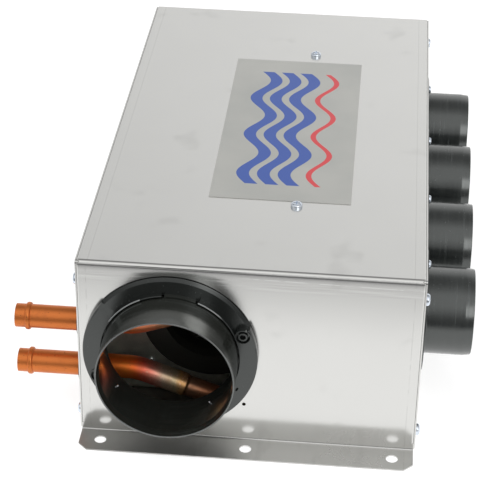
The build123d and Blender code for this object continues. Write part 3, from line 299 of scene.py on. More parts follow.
# %% [markdown]
# The table is one large square under the heater. Lit like paper it would look grey and end in a
# horizon. So a ray from the camera sees paper that also glows, which makes it white and leaves
# only a trace of the heater's shadow. Every other ray sees a plain bright surface that falls off
# a little towards the table's front edge, with the dark floor in front of it. The front of the
# casing mirrors exactly this part.

# %% Table
table_half = 3.0
table_front = -0.52
table_front_blend = 0.01
near_start, near_end = -0.43, -0.32
near_share = 0.60
paper_colour = (0.5, 0.5, 0.5)
paper_glow = 0.72
floor_colour = (0.16, 0.16, 0.165)


def table_finish(name):
    """White for the camera, and for all other rays a lit table with a dark floor before it."""
    material, look = new_finish(name)
    east, north, height = look.axes(look.place())
    on_table = look.fade(north, table_front - table_front_blend, table_front + table_front_blend)
    paper = look.node("ShaderNodeBsdfDiffuse", inputs={"Color": (*paper_colour, 1.0)})
    glow = look.node("ShaderNodeEmission", inputs={"Color": (*white, 1.0), "Strength": paper_glow})
    seen_white = look.node("ShaderNodeAddShader", inputs={0: paper, 1: glow})
    in_mirror = look.node("ShaderNodeLightPath", output="Is Glossy Ray")
    nearness = look.fade(north, near_start, near_end, near_share, 1.0)
    strength = (1.0 + in_mirror * (mirror_gain - 1.0)) * nearness
    lit = look.node("ShaderNodeEmission", inputs={"Color": (*white, 1.0), "Strength": strength})
    floor = look.node("ShaderNodeEmission", inputs={"Color": (*floor_colour, 1.0)})
    unseen = look.node("ShaderNodeMixShader", inputs={0: on_table, 1: floor, 2: lit})
    camera_ray = look.node("ShaderNodeLightPath", output="Is Camera Ray")
    whole = look.node("ShaderNodeMixShader", inputs={0: camera_ray, 1: unseen, 2: seen_white})
    look.node("ShaderNodeOutputMaterial", inputs={"Surface": whole})
    return material


table_mesh = bpy.data.meshes.new("table")
corners = [(-table_half, -table_half, 0), (table_half, -table_half, 0)]
corners += [(table_half, table_half, 0), (-table_half, table_half, 0)]
table_mesh.from_pydata(corners, [], [(0, 1, 2, 3)])
table_mesh.materials.append(table_finish("table_white"))
table = bpy.data.objects.new("table", table_mesh)
bpy.context.scene.collection.objects.link(table)
print("table in metres:", 2 * table_half)

# %% [markdown]
# Two flat lamps give the soft shadows: a large one overhead and a narrow one over the camera's
# shoulder. They could be bright patches of the room instead, but a lamp keeps its shadow free of
# grain. Neither shows in reflections, because the room already has its own lights there.


# %% Lamps
def soft_lamp(name, place, target, width, depth, brightness):
    """Flat lamp at place that faces target; its power is pi times area times brightness."""
    data = bpy.data.lights.new(name, "AREA")
    data.shape = "RECTANGLE"
    data.size = width
    data.size_y = depth
    data.energy = math.pi * width * depth * brightness
    lamp = bpy.data.objects.new(name, data)
    away = np.array(place) - np.array(target)
    away = away / np.linalg.norm(away)
    side = np.cross([0.0, 1.0, 0.0], away)
    side = side / np.linalg.norm(side)
    turn = np.column_stack([side, np.cross(away, side), away])
    lamp.matrix_world = Matrix.Translation(place) @ Matrix(turn.tolist()).to_4x4()
    lamp.visible_glossy = False
    bpy.context.scene.collection.objects.link(lamp)
    return lamp


casing_middle = (0.0, 0.0, 0.07)
lamps = [
    soft_lamp("overhead_lamp", (-0.3, -0.2, 1.7), casing_middle, 1.8, 1.8, 1.0),
    soft_lamp("front_lamp", (0.85, -1.9, 1.95), casing_middle, 0.5, 1.5, 3.5),
]
print("lamp powers in watts:", [round(lamp.data.energy, 1) for lamp in lamps])

# %% [markdown]
# The casing is stainless sheet as the mill rolls it: neither polished nor ground, with a soft
# grey sheen, faint clouds where it was handled, and scratches from the press. Such a sheet could
# be painted by hand, but its reflections do most of the work, so the colour stays nearly even
# and the roughness carries the clouds. The press leaves fine lines beside each bend, and these
# are placed from the sheet's known edges.

# %% Stainless sheet
half_width = 112.0 * MM
half_length = 202.0 * MM
top_height = 135.0 * MM
steel_colour = (0.67, 0.668, 0.65)
# The darker tone serves smudges, and on the cover painted shade too
steel_smudge_and_shade = (0.50, 0.497, 0.48)
steel_roughness = 0.20
cloud_size, cloud_roughness = 55.0 * MM, 0.10
smudge_size, smudge_stretch = 32.0 * MM, (1.0, 0.8, 1.3)
smudge_stain, smudge_roughness = 0.28, 0.05
speck_size, speck_stain = 2.2 * MM, 0.22
grain_size, grain_height = 0.9 * MM, 0.003 * MM
# The faces of side panels and floor that look into the casing lie in its shade
inside_shade = (0.09, 0.09, 0.075)
inside_share, inside_roughness = 0.85, 0.3
panel_outside, panel_inside = 111.2 * MM, 110.8 * MM
floor_outside, floor_inside = 0.5 * MM, 0.9 * MM


def sheet_surface(look, place):
    """Relief in metres, share of stain, and roughness that every stainless sheet has."""
    clouds = look.noise(place, cloud_size, 4.0, roughness=0.6)
    smudges = look.fade(look.noise(place, smudge_size, 2.0, smudge_stretch), 0.60, 0.78)
    specks = look.fade(look.noise(place, speck_size, 1.0), 0.74, 0.80)
    relief = look.noise(place, grain_size, 2.0) * grain_height
    stain_and_shade = smudges * smudge_stain + specks * speck_stain
    rough = steel_roughness + (clouds - 0.5) * cloud_roughness + smudges * smudge_roughness
    return relief, stain_and_shade, rough


def stainless_panel(name):
    """Flat stainless sheet, bright outside and shaded on the faces inside the casing."""
    material, look = new_finish(name)
    place = look.place()
    x, y, z = look.axes(place)
    relief, stain_and_shade, rough = sheet_surface(look, place)
    inside = look.fade(abs(x), panel_outside, panel_inside)
    inside = inside * look.fade(z, floor_outside, floor_inside)
    colour = look.mix(stain_and_shade, steel_colour, steel_smudge_and_shade)
    look.surface(
        Base_Color=look.mix(inside * inside_share, colour, inside_shade),
        Metallic=1.0,
        Roughness=rough + inside * inside_roughness,
        Normal=look.bump(relief, 1.0),
    )
    return material


# %% [markdown]
# The cover is one sheet, folded into the top, both ends and both flanges. Its bends are in the
# construction, but the press leaves more: the end curves in a little just under the top bend,
# with small dents and one crease, fine lines run beside the side edges, and the flanges are dull
# and streaked with stain. A painted highlight makes the crease a bright line, and painted shade
# darkens the flanges, most in their left corner, and the foot of each end. All of this is too
# shallow or too fine for the mesh, so it is relief, stain, painted light and shade, and roughness,
# switched on by masks for the top, the ends and the flanges.

# %% Cover's marks
# A face's mask fades in over this last bit of depth below its surface
skin_start, skin_end = 0.4 * MM, 0.2 * MM
# Press lines beside the side edges: distance from the edge, half width, share of stain
top_line_inset, top_line_width, top_line_stain = 7.1 * MM, 0.45 * MM, 0.40
end_line_inset, end_line_width, end_line_stain = 6.0 * MM, 0.5 * MM, 0.45
pit_size = 4.0 * MM
# Under the top bend the end curves in, and a band of dents lies below
roll_start, roll_height = 128.5 * MM, 0.6 * MM
dent_size, dent_stretch, dent_height = 3.0 * MM, (0.06, 1.0, 1.0), 0.10 * MM
dent_low_start, dent_low_end = 119.0 * MM, 123.0 * MM
dent_high_start, dent_high_end = 129.0 * MM, 126.0 * MM
# A painted highlight draws a thin bright crease below the bend, on the right only, sinking a little to
# the right
crease_height, crease_slope, crease_width = 129.2 * MM, 0.017, 0.45 * MM
crease_start, crease_end = -12.0 * MM, 4.0 * MM
crease_highlight_colour, crease_highlight_share = (0.95, 0.95, 0.94), 0.45
# The flanges are dull, more so on the left; painted shade darkens them, more on the left and most in the
# left corner, and streaks of stain lie on them
flange_above, flange_top = 1.6 * MM, 1.1 * MM
flange_bend_width = 1.0 * MM
left_fade_start, left_fade_end = 30.0 * MM, -60.0 * MM
flange_shade, flange_left_shade, flange_streak_stain = 0.08, 0.15, 0.30
flange_roughness, flange_left_roughness = 0.10, 0.22
streak_size, streak_stretch = 10.0 * MM, (1.0, 0.35, 1.0)
# Painted shade in the flanges' left corner
corner_start, corner_end = -40.0 * MM, -100.0 * MM
corner_shade_colour, corner_shade_share = (0.22, 0.22, 0.21), 0.30
# The foot of each end has painted shade, darker on the left, and is a little smoother
foot_start, foot_end = 14.0 * MM, 3.0 * MM
foot_shade, foot_left_shade = 0.25, 0.45
smooth_start, smooth_end, foot_smoothing = 40.0 * MM, 20.0 * MM, 0.02


def line(look, value, middle, width):
    """1 on a line where value equals middle, fading to 0 at width on both sides."""
    return look.fade(abs(value - middle), width, 0.0)


def bend_relief(look, place, z):
    """Height in metres of the end's surface under the top bend.

    height = dents - roll height * t^2, where t rises from 0 where the roll starts to 1 at the
    top. The dents are a noise drawn out along the bend and kept within their band.
    """
    t = look.sum("MAXIMUM", z - roll_start, 0.0) / (top_height - roll_start)
    dents = look.noise(place, dent_size, 1.0, dent_stretch) - 0.5
    dent_band = look.fade(z, dent_low_start, dent_low_end)
    dent_band = dent_band * look.fade(z, dent_high_start, dent_high_end)
    return dents * dent_band * dent_height - t * t * roll_height


def stainless_cover(name):
    """Folded stainless sheet: press lines, a rolled bend, a painted highlight on its crease, painted
    shade on flanges and feet.
    """
    material, look = new_finish(name)
    place = look.place()
    x, y, z = look.axes(place)
    relief, stain_and_shade, rough = sheet_surface(look, place)
    on_top = look.fade(z, top_height - skin_start, top_height - skin_end)
    on_end = look.fade(abs(y), half_length - skin_start, half_length - skin_end)
    on_flange = look.fade(z, flange_above, flange_top)
    on_flange = on_flange * look.fade(abs(y), half_length, half_length + flange_bend_width)
    leftward = look.fade(x, left_fade_start, left_fade_end)
    pitted = look.fade(look.noise(place, pit_size, 2.0), 0.40, 0.55)

    top_line = line(look, abs(x), half_width - top_line_inset, top_line_width) * on_top
    end_line = line(look, abs(x), half_width - end_line_inset, end_line_width) * on_end * pitted
    stain_and_shade = stain_and_shade + top_line * top_line_stain + end_line * end_line_stain
    streaks = look.fade(look.noise(place, streak_size, 3.0, streak_stretch), 0.50, 0.72)
    # Painted shade darkens the flanges, more on the left; the streaks are stain
    flange_shade_and_streaks = flange_shade + leftward * flange_left_shade + streaks * flange_streak_stain
    stain_and_shade = stain_and_shade + on_flange * flange_shade_and_streaks
    # Painted shade at the foot of each end, darker on the left
    at_foot = look.fade(z, foot_start, foot_end) * on_end
    stain_and_shade = stain_and_shade + at_foot * (foot_shade + leftward * foot_left_shade)

    crease = line(look, z + x * crease_slope, crease_height, crease_width) * on_end * pitted
    crease = crease * look.fade(x, crease_start, crease_end)
    # Painted shade in the flanges' left corner
    corner_shade = look.fade(x, corner_start, corner_end) * on_flange
    # The darker tone takes smudges, press lines and flange streaks, and painted shade on the flanges and
    # feet
    colour = look.mix(stain_and_shade, steel_colour, steel_smudge_and_shade)
    # Painted highlight: the crease's line is whitened
    colour = look.mix(crease * crease_highlight_share, colour, crease_highlight_colour)
    colour = look.mix(corner_shade * corner_shade_share, colour, corner_shade_colour)

    rough = rough + on_flange * (flange_roughness + leftward * flange_left_roughness)
    rough = rough - look.fade(z, smooth_start, smooth_end) * on_end * foot_smoothing
    relief = bend_relief(look, place, z) * on_end + relief
    look.surface(
        Base_Color=colour, Metallic=1.0, Roughness=rough, Normal=look.bump(relief, 1.0)
    )
    return material


# %% [markdown]
# The inner sheets, the screws, the bearings and the fins are metals with no marks of their own.
# One function serves them all: the colour drifts between a light and a dark tone, as zinc
# flowers and handling make it do, and a fine grain breaks the reflection.


# %% Inner sheets and small metal
def plain_metal(name, light, dark, roughness, spread, size):
    """Metal whose colour drifts between two tones in blobs of this size."""
    material, look = new_finish(name)
    place = look.place()
    drift = look.noise(place, size, 4.0, roughness=0.65)
    grain = look.noise(place, size * 0.06, 2.0)
    look.surface(
        Base_Color=look.mix(look.fade(drift, 0.35, 0.65), light, dark),
        Metallic=1.0,
        Roughness=roughness + (drift - 0.5) * spread + (grain - 0.5) * spread * 0.5,
        Normal=look.bump(grain, 0.01 * MM),
    )
    return material


# %% [markdown]
# The ring, the spigot and the outlets are moulded from one dark grey plastic. It is smooth enough
# to mirror the room's bands as soft lines. The mould leaves a very fine speckle, and handling
# leaves pale dust. A duct that is pushed on and off rubs the tubes, so their marks run round
# them: their noise is drawn out along two axes and stays fine along the tube's own. A painted
# highlight lightens the front edge of the ring's thin lip, placed by the angle about the ring's
# middle, and another lightens the very front of the spigot's rim.

# %% Moulded plastic
ring_middle = (-51.1 * MM, 69.2 * MM)
ring_front = -208.0 * MM
# Painted highlight on the front edge of the ring's lip: its radius, width, depth and share
lip_edge_radius = 46.6 * MM
lip_highlight_edge, lip_highlight_core = 0.55 * MM, 0.35 * MM
lip_highlight_depth, lip_highlight_skin = 0.7 * MM, 0.4 * MM
lip_highlight_share = 0.8
# Turns in degrees between which the lip stands free and its notch is cut, each with its fade
lip_turn_start, lip_turn_end = (30.0, 34.0), (139.0, 132.0)
notch_turn_start, notch_turn_end = (65.5, 66.0), (96.7, 96.2)
# Painted highlight on the very front of the spigot's rim: its depth and share
rim_front = -236.5 * MM
rim_highlight_depth, rim_highlight_skin = 0.40 * MM, 0.15 * MM
rim_highlight_share = 0.28
pale_dust = (0.11, 0.12, 0.12)
# Pale grey of the painted highlights
highlight_grey = (0.34, 0.35, 0.35)
plastic_tint = (0.96, 1.0, 0.98)
# Stretch of the rub marks on a tube that lies along x and on one that lies along y
round_x_axis = (1.0, 0.04, 0.04)
round_y_axis = (0.04, 1.0, 0.04)


def painted_lip_highlight(look, x, y, z):
    """Share of painted highlight on the outer front edge of the ring's thin lip.

    radius^2 = (x - middle x)^2 + (z - middle z)^2; turn is the angle in degrees from the left
    over the top. The lip stands free between two turns, and its notch gets no highlight.
    """
    sideways = x - ring_middle[0]
    upward = z - ring_middle[1]
    radius = look.sum("SQRT", sideways * sideways + upward * upward)
    turn = look.sum("ARCTAN2", upward, sideways * -1.0) * (180 / math.pi)
    in_sector = look.fade(turn, *lip_turn_start) * look.fade(turn, *lip_turn_end)
    in_notch = look.fade(turn, *notch_turn_start) * look.fade(turn, *notch_turn_end)
    edge = look.fade(abs(radius - lip_edge_radius), lip_highlight_edge, lip_highlight_core)
    front = look.fade(y, ring_front + lip_highlight_depth, ring_front + lip_highlight_skin)
    return edge * front * in_sector * (1.0 - in_notch) * lip_highlight_share


def painted_rim_highlight(look, x, y, z):
    """Share of painted highlight on the very front of the spigot's rim, which depends on y alone."""
    return look.fade(y, rim_front + rim_highlight_depth, rim_front + rim_highlight_skin) * rim_highlight_share


def moulded_plastic(
    name, colour, roughness, dust=0.25, wipe=None, index=1.75, painted_highlight=None, dust_colour=pale_dust
):
    """Plastic with a fine speckle in its relief and thin pale dust.

    wipe is the stretch of the rub marks that run round a tube: small along the way they run.
    The function given for the painted highlight returns its share at a point.
    """
    material, look = new_finish(name)
    place = look.place()
    speckle = look.noise(place, 1.1 * MM, 2.0)
    drift = look.noise(place, 20.0 * MM, 3.0)
    dusty = look.fade(look.noise(place, 1.6 * MM, 1.0), 0.70, 0.78) * dust
    body = look.mix(dusty + (drift - 0.5) * 0.12, colour, dust_colour)
    rough = roughness + (drift - 0.5) * 0.10 + dusty * 0.25
    # Painted highlight: a pale grey on an edge that catches the light
    if painted_highlight:
        body = look.mix(painted_highlight(look, *look.axes(place)), body, highlight_grey)
    if wipe:
        marks = look.noise(place, 1.6 * MM, 3.0, wipe, 0.6) - 0.5
        body = look.mix(look.fade(marks, 0.02, 0.28) * 0.20, body, dust_colour)
        rough = rough + marks * 0.34
    look.surface(
        Base_Color=body,
        Roughness=rough,
        Normal=look.bump(speckle, 0.006 * MM),
        IOR=index,
        Specular_Tint=plastic_tint,
    )
    return material


# %% [markdown]
# The hose tails are bare copper. Outside they are dull orange brown with dark specks. Inside, a
# torch has brazed the joint with the next pipe, and the heat left bands of colour on the way to
# it: orange, red, purple and straw. They could be painted on an unrolled tube, but the tubes run
# across the casing, so a ramp of colours along its width does the same with no unrolling. Some
# noise on the ramp's value makes the bands' edges uneven.

# %% Copper
heat_stops_mm = [
    (-116, (0.64, 0.185, 0.045)),
    (-108, (0.90, 0.20, 0.04)),
    (-84, (0.92, 0.22, 0.030)),
    (-78, (0.86, 0.16, 0.035)),
    (-72, (0.74, 0.14, 0.08)),
    (-66, (0.62, 0.22, 0.16)),
    (-59, (0.48, 0.34, 0.24)),
    (-51, (0.42, 0.33, 0.20)),
    (-47, (0.56, 0.31, 0.12)),
    (-42, (0.42, 0.22, 0.10)),
]
band_waviness = 0.05
scale_colour, scale_size, scale_share = (0.86, 0.62, 0.48), 1.4 * MM, 0.5
scale_start, scale_end = -76.0 * MM, -68.0 * MM
# Painted light: a brighter orange on the upper tube inside the casing stands in for the bright table
# that it mirrors
painted_light_colour, painted_light_share = (1.0, 0.36, 0.15), 0.6
painted_light_low, painted_light_high = 52.0 * MM, 58.0 * MM
painted_light_left, painted_light_right = -108.0 * MM, -100.0 * MM
core_light, core_dark = (0.66, 0.25, 0.12), (0.50, 0.18, 0.08)
sooty_colour, sooty_share = (0.20, 0.12, 0.075), 0.8
sooty_rear, sooty_front = -150.0 * MM, -160.0 * MM
sooty_right, sooty_left = -20.0 * MM, -42.0 * MM
tarnish_colour, tarnish_share = (0.30, 0.10, 0.04), 0.35
speck_colour, speck_share = (0.10, 0.04, 0.02), 0.6
copper_metallic, copper_roughness = 0.82, 0.38


def heat_bands_and_light(look, place, drift):
    """Colour of a hose tail: a ramp along x, pale scale near the joint, painted light on the upper tube.
    """
    x, y, z = look.axes(place)
    low, high = heat_stops_mm[0][0], heat_stops_mm[-1][0]
    along = look.node(
        "ShaderNodeMapRange", inputs={0: x, 1: low * MM, 2: high * MM, 3: 0.0, 4: 1.0}
    )
    stops = [((place_mm - low) / (high - low), tone) for place_mm, tone in heat_stops_mm]
    base = look.ramp(along + (drift - 0.5) * band_waviness, stops)
    scaly = look.fade(look.noise(place, scale_size, 2.0), 0.60, 0.70)
    scaly = scaly * look.fade(x, scale_start, scale_end)
    base = look.mix(scaly * scale_share, base, scale_colour)
    # Painted light on the upper tube
    painted_light = look.fade(z, painted_light_low, painted_light_high) * look.fade(x, painted_light_left, painted_light_right)
    return look.mix(painted_light * painted_light_share, base, painted_light_colour)


def core_tone(look, place, drift):
    """Colour of the inner pipes: plain copper, browned where they were heated near the tails."""
    x, y, z = look.axes(place)
    base = look.mix(drift, core_light, core_dark)
    heated = look.fade(y, sooty_rear, sooty_front) * look.fade(x, sooty_right, sooty_left)
    return look.mix(heated * sooty_share, base, sooty_colour)


def copper(name, tone):
    """Bare copper whose colour comes from the function tone, with tarnish and dark specks."""
    material, look = new_finish(name)
    place = look.place()
    drift = look.noise(place, 9.0 * MM, 4.0, roughness=0.65)
    specks = look.fade(look.noise(place, 1.3 * MM, 2.0), 0.66, 0.74)
    base = tone(look, place, drift)
    tarnished = look.mix(look.fade(drift, 0.50, 0.78) * tarnish_share, base, tarnish_colour)
    look.surface(
        Base_Color=look.mix(specks * speck_share, tarnished, speck_colour),
        Metallic=copper_metallic,
        Roughness=copper_roughness + (drift - 0.5) * 0.2 + specks * 0.2,
        Normal=look.bump(drift, 0.03 * MM),
    )
    return material


# %% [markdown]
# The label is a thin grey foil. It carries a plain printed pattern only: three blue waves and a
# red one beside them, as warm air might be drawn. The print could be an image, but each wave is
# simply a band about a sine, so a point is inside when its distance from the sine is less than
# half the band, and the edge stays sharp at any distance.

# %% Label foil
label_low, label_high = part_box("label_plate")
label_middle_x = (label_low.x + label_high.x) / 2
label_middle_y = (label_low.y + label_high.y) / 2
wave_length = 58.0 * MM
wave_height = 6.5 * MM
print_half_length = 88.0 * MM
print_end_blend = 0.1 * MM
band_edge_mm = 0.12
foil_light, foil_dark = (0.56, 0.56, 0.53), (0.52, 0.525, 0.50)
blue_ink = (0.030, 0.085, 0.36)
red_ink = (0.62, 0.045, 0.055)
# Middle of each wave across the label and its width
blue_waves_mm = ((-22.0, 9.0), (-7.5, 9.0), (7.0, 9.0))
red_wave_mm = (24.0, 4.0)


def wave_band(look, across, along, middle_mm, width_mm):
    """1 inside a band of this width about a sine that runs along the label.

    distance = |across - height * sin(2 pi along / length) - middle|
    """
    sine = look.sum("SINE", along * (2 * math.pi / wave_length)) * wave_height
    distance = abs(across - sine - middle_mm * MM)
    outer = (width_mm / 2 + band_edge_mm) * MM
    inner = (width_mm / 2 - band_edge_mm) * MM
    return look.fade(distance, outer, inner)


def label_foil(name):
    """Satin foil with the wave pattern printed on it."""
    material, look = new_finish(name)
    place = look.place()
    x, y, z = look.axes(place)
    across = x - label_middle_x
    along = y - label_middle_y
    inside = look.fade(
        abs(along), print_half_length + print_end_blend, print_half_length - print_end_blend
    )
    blue = wave_band(look, across, along, *blue_waves_mm[0])
    for wave in blue_waves_mm[1:]:
        blue = look.sum("MAXIMUM", blue, wave_band(look, across, along, *wave))
    red = wave_band(look, across, along, *red_wave_mm)
    ink = look.sum("MAXIMUM", blue, red) * inside
    clouds = look.noise(place, 40.0 * MM, 3.0)
    foil = look.mix(look.fade(clouds, 0.3, 0.7), foil_light, foil_dark)
    grain = look.noise(place, 0.7 * MM, 2.0)
    look.surface(
        Base_Color=look.mix(red * inside, look.mix(blue * inside, foil, blue_ink), red_ink),
        Metallic=0.75 - ink * 0.7,
        Roughness=0.42 - ink * 0.08 + (clouds - 0.5) * 0.06,
        Normal=look.bump(grain, 0.004 * MM),
    )
    return material


# %% [markdown]
# Grommets and gaskets are matt and black. Rubber has a fine, shallow grain and foam a deeper
# one, so one function takes the size and the height of the grain. Dust in the hollows is only a
# paler tone.


# %% Rubber and foam
def rubber(name, colour, roughness, grain_size, relief):
    """Matt rubber or foam with an even grain."""
    material, look = new_finish(name)
    place = look.place()
    grain = look.noise(place, grain_size, 3.0)
    dust = look.fade(look.noise(place, 4.0 * MM, 3.0), 0.5, 0.8)
    look.surface(
        Base_Color=look.mix(dust * 0.3, colour, (0.10, 0.10, 0.10)),
        Roughness=roughness + (grain - 0.5) * 0.2,
        Normal=look.bump(grain, relief),
    )
    return material


# %% [markdown]
# Each finish is made once. A metal gets a light and a dark tone, its roughness, how far that
# spreads, and the size of its blobs in metres. A plastic gets its colour and roughness, and more
# where it is rubbed, where a painted highlight lightens an edge, or where it is less shiny than
# the rest.

# %% The finishes
finishes = {
    "stainless_cover": stainless_cover("stainless_cover"),
    "stainless_panel": stainless_panel("stainless_panel"),
    "partition": plain_metal("partition", (0.74, 0.75, 0.66), (0.60, 0.61, 0.54), 0.50, 0.2, 0.014),
    "galvanised": plain_metal("galvanised", (0.60, 0.61, 0.62), (0.46, 0.47, 0.48), 0.42, 0.2, 0.014),
    "zinc": plain_metal("zinc", (0.78, 0.83, 0.90), (0.66, 0.72, 0.80), 0.26, 0.15, 0.003),
    "black_screw": plain_metal("black_screw", (0.10, 0.10, 0.105), (0.05, 0.05, 0.05), 0.35, 0.2, 0.002),
    "bearing": plain_metal("bearing", (0.72, 0.72, 0.74), (0.62, 0.62, 0.64), 0.16, 0.1, 0.006),
    "fin": plain_metal("fin", (0.80, 0.81, 0.82), (0.70, 0.71, 0.72), 0.34, 0.15, 0.02),
    "braze": plain_metal("braze", (0.56, 0.30, 0.13), (0.40, 0.21, 0.10), 0.40, 0.2, 0.002),
    "iron": plain_metal("iron", (0.26, 0.25, 0.24), (0.16, 0.15, 0.14), 0.5, 0.2, 0.004),
    "copper_tail": copper("copper_tail", heat_bands_and_light),
    "copper_core": copper("copper_core", core_tone),
    "duct_plastic": moulded_plastic(
        "duct_plastic", (0.017, 0.019, 0.0185), 0.20, wipe=round_x_axis, index=1.85
    ),
    "spigot_plastic": moulded_plastic(
        "spigot_plastic", (0.016, 0.0170, 0.0145), 0.15, wipe=round_y_axis, painted_highlight=painted_rim_highlight
    ),
    "ring_plastic": moulded_plastic(
        "ring_plastic", (0.010, 0.0112, 0.0105), 0.22, painted_highlight=painted_lip_highlight
    ),
    "black_plastic": moulded_plastic(
        "black_plastic", (0.014, 0.014, 0.011), 0.5, 0.1, index=1.5, dust_colour=(0.03, 0.03, 0.03)
    ),
    "wheel_plastic": moulded_plastic(
        "wheel_plastic", (0.11, 0.11, 0.09), 0.5, 0.1, index=1.5, dust_colour=(0.12, 0.12, 0.12)
    ),
    "motor_paint": moulded_plastic(
        "motor_paint", (0.025, 0.025, 0.027), 0.3, 0.1, dust_colour=(0.1, 0.1, 0.1)
    ),
    "terminal": moulded_plastic(
        "terminal", (0.72, 0.69, 0.60), 0.35, 0.2, dust_colour=(0.5, 0.48, 0.44)
    ),
    "label": label_foil("label"),
    "grommet_rubber": rubber("grommet_rubber", (0.018, 0.018, 0.019), 0.55, 1.6 * MM, 0.02 * MM),
    "gasket_foam": rubber("gasket_foam", (0.02, 0.02, 0.021), 0.85, 0.8 * MM, 0.08 * MM),
}
print("finishes:", len(finishes))

# %% [markdown]
# Each finish now goes on its pieces. A piece from the frame keeps its shape and place, and only
# the material in its slot changes. Pieces with a name of their own are listed, families of
# pieces go by the ending of their names, and whatever is left over is galvanised sheet.

# %% Put the finishes on
finish_of = {
    "casing_cover": "stainless_cover",
    "base_plate": "stainless_panel",
    "left_side_panel": "stainless_panel",
    "right_side_panel": "stainless_panel",
    "label_plate": "label",
    "inlet_ring_screws": "black_screw",
    "nozzle_screws": "black_screw",
    "spigot_screws": "bearing",
    "inlet_ring": "ring_plastic",
    "inlet_spigot": "spigot_plastic",
    "flow_hose_tail": "copper_tail",
    "return_hose_tail": "copper_tail",
    "flow_core_pipe": "copper_core",
    "return_core_pipe": "copper_core",
    "flow_header": "copper_core",
    "return_header": "copper_core",
    "core_hairpins": "copper_core",
    "core_fins": "fin",
    "inlet_nozzle": "black_plastic",
    "impeller": "wheel_plastic",
    "fan_shaft": "bearing",
    "front_bearing": "bearing",
    "rear_bearing": "bearing",
    "motor_can": "motor_paint",
    "motor_end_cap": "motor_paint",
    "stator": "iron",
    "rotor": "iron",
    "terminal_block": "terminal",
    "blower_partition": "partition",
    **{f"outlet_{number}": "duct_plastic" for number in range(1, 5)},
}
ending_finish = {
    "_screws": "zinc",
    "_gaskets": "gasket_foam",
    "_gasket": "gasket_foam",
    "_grommets": "grommet_rubber",
    "_grommet": "grommet_rubber",
}
for name, piece in parts.items():
    by_ending = [finish for ending, finish in ending_finish.items() if name.endswith(ending)]
    chosen = finish_of.get(name) or (by_ending or ["galvanised"])[0]
    for slot in piece.material_slots:
        slot.material = finishes[chosen]
print("finished pieces:", len(parts))

# %% [markdown]
# The core's fins are thin aluminium plates, far closer together than the construction model
# draws them. They could be one plate with an Array modifier. Here each plate is worked out in
# eight cells, one round each tube, because a cell with a round hole is then a plain grid: a ring
# of points on the tube's hole and a ring on the cell's rectangle. Every plate is the same one,
# moved along by the pitch. Solidify gives the sheet its thickness.

# %% Fin pack
fin_pitch = 2.1 * MM
fin_sheet = 0.25 * MM
tube_width = 12.0 * MM
tube_hole = 6.1 * MM
cell_columns, cell_rows = 2, 4
side_points = 4


def mesh_piece(name, points, faces, material_name):
    """A new piece from arrays of points and of faces, with its finish."""
    mesh = bpy.data.meshes.new(name)
    mesh.from_pydata(points.tolist(), [], faces.tolist())
    mesh.materials.append(finishes[material_name])
    piece = bpy.data.objects.new(name, mesh)
    bpy.context.scene.collection.objects.link(piece)
    return piece


def fin_cell(width, height):
    """Two rings of points, (hole, rectangle), as x and z about the cell's middle.

    The outer ring walks round the rectangle with side_points steps to a side. The inner ring
    lies on the hole's circle in the same directions.
    """
    step = np.arange(side_points) / side_points
    ones = np.ones(side_points)
    x = np.concatenate([2 * step - 1, ones, 1 - 2 * step, -ones]) * width / 2
    z = np.concatenate([-ones, 2 * step - 1, ones, 1 - 2 * step]) * height / 2
    outer = np.column_stack([x, z])
    inner = outer / np.linalg.norm(outer, axis=1, keepdims=True) * tube_hole
    return np.stack([inner, outer])


def fin_plate(low, high, tube_spacing):
    """Points (x, z) and faces of one plate between two corners, shared points merged.

    The tubes stand closer together than the cells' middles, so the holes move with them.
    """
    width = (high[0] - low[0]) / cell_columns
    height = (high[2] - low[2]) / cell_rows
    rings = fin_cell(width, height)
    columns, rows = np.meshgrid(np.arange(cell_columns), np.arange(cell_rows), indexing="ij")
    middles = np.column_stack(
        [low[0] + (columns.ravel() + 0.5) * width, low[2] + (rows.ravel() + 0.5) * height]
    )
    tube_xs = (low[0] + high[0]) / 2 + np.where(columns.ravel() == 0, -1, 1) * tube_spacing / 2
    hole_shift = np.zeros((len(middles), 2, 1, 2))
    hole_shift[:, 0, 0, 0] = tube_xs - middles[:, 0]
    points = middles[:, None, None, :] + rings[None] + hole_shift
    count = rings.shape[1]
    here = np.arange(count)
    after = (here + 1) % count
    quad = np.column_stack([here, after, after + count, here + count])
    quads = quad[None] + (np.arange(len(middles)) * 2 * count)[:, None, None]
    merged, where = np.unique(points.reshape(-1, 2).round(7), axis=0, return_inverse=True)
    return merged, where.ravel()[quads.reshape(-1, 4)]


fins_low, fins_high = (np.array(corner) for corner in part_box("core_fins"))
tubes_low, tubes_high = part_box("core_hairpins")
tube_spacing = (tubes_high.x - tubes_low.x) - tube_width
plate_points, plate_faces = fin_plate(fins_low, fins_high, tube_spacing)
fin_count = int((fins_high[1] - fins_low[1]) / fin_pitch)
fin_ys = fins_low[1] + fin_sheet + np.arange(fin_count) * fin_pitch
all_points = np.empty((fin_count, len(plate_points), 3))
all_points[:, :, 0] = plate_points[:, 0]
all_points[:, :, 1] = fin_ys[:, None]
all_points[:, :, 2] = plate_points[:, 1]
all_faces = plate_faces[None] + (np.arange(fin_count) * len(plate_points))[:, None, None]
fin_pack = mesh_piece("fin_pack", all_points.reshape(-1, 3), all_faces.reshape(-1, 4), "fin")
thicken = fin_pack.modifiers.new("thickness", "SOLIDIFY")
thicken.thickness = fin_sheet
thicken.offset = 0.0
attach(fin_pack, "casing")
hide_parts("core_fins")
print("fins:", fin_count)

# %% [markdown]
# Where a hose tail ends round its core pipe, the joint is brazed: molten metal has drawn into
# the gap and left a small hollow fillet. Blender's Screw modifier could turn its outline about an
# axis, but the pipe slopes, and a finished piece must lie unturned at the origin. So the surface
# of revolution is worked out about the sloping pipe itself. Its radius falls from the tail's to
# the pipe's along a quarter circle.

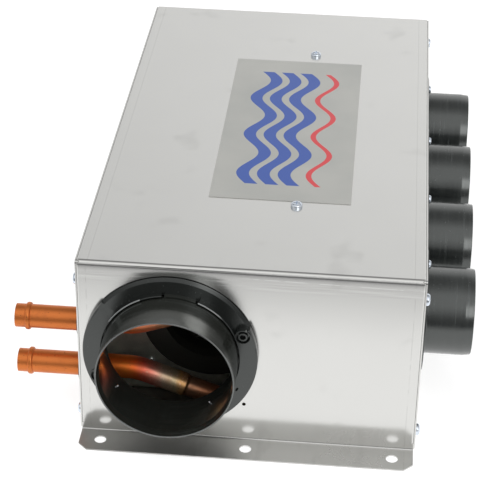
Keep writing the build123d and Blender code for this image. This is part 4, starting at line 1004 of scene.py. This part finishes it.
# %% Braze fillets
tail_end = (-45.0 * MM, -177.0 * MM)
tail_bend_x = -77.6 * MM
tail_slope = math.radians(20.0)
tail_heights = {"flow": 73.3 * MM, "return": 36.7 * MM}
slope_signs = {"flow": 1, "return": -1}
braze_length = 2.0 * MM
braze_outer, braze_inner = 7.9 * MM, 7.1 * MM
braze_overlap = 0.1 * MM
braze_sink = 0.05 * MM


def turned_surface(profile, start, along, turns=48):
    """Closed surface of revolution: a profile of (distance, radius) about a line.

    point(i, t) = start + distance_i * along + radius_i * (cos t * across + sin t * upward)
    """
    along = np.array(along) / np.linalg.norm(along)
    across = np.cross(along, (0.0, 1.0, 0.0))
    across = across / np.linalg.norm(across)
    upward = np.cross(along, across)
    angles = np.linspace(0, 2 * math.pi, turns, endpoint=False)
    distance, radius = np.array(profile).T
    ring = np.cos(angles)[:, None] * across + np.sin(angles)[:, None] * upward
    points = np.array(start) + distance[:, None, None] * along + radius[:, None, None] * ring[None]
    rows = len(profile)
    row, column = np.meshgrid(np.arange(rows), np.arange(turns), indexing="ij")
    next_row, next_column = (row + 1) % rows, (column + 1) % turns
    faces = np.stack(
        [
            row * turns + column,
            row * turns + next_column,
            next_row * turns + next_column,
            next_row * turns + column,
        ],
        axis=-1,
    )
    return points.reshape(-1, 3), faces.reshape(-1, 4)


def fillet_profile():
    """Outline of the fillet as (distance, radius): a quarter circle, closed on the pipe's side.

    distance = length * sin t; radius = inner + (outer - inner) * (1 - sin t), t up to pi / 2.
    """
    quarter = np.linspace(0, math.pi / 2, 7)
    fillet = np.column_stack(
        [
            braze_length * np.sin(quarter),
            braze_inner + (braze_outer - braze_inner) * (1 - np.sin(quarter)),
        ]
    )
    start = [(-braze_overlap, braze_outer)]
    back = [(braze_length, braze_inner - braze_sink), (-braze_overlap, braze_inner - braze_sink)]
    return np.vstack([start, fillet, back])


for name, tail_height in tail_heights.items():
    sign = slope_signs[name]
    end_height = tail_height + sign * math.tan(tail_slope) * (tail_end[0] - tail_bend_x)
    points, faces = turned_surface(
        fillet_profile(),
        (tail_end[0], tail_end[1], end_height),
        (math.cos(tail_slope), 0.0, sign * math.sin(tail_slope)),
    )
    braze = mesh_piece(f"{name}_braze", points, faces, "braze")
    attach(braze, "casing")
print("braze fillets:", len(tail_heights))
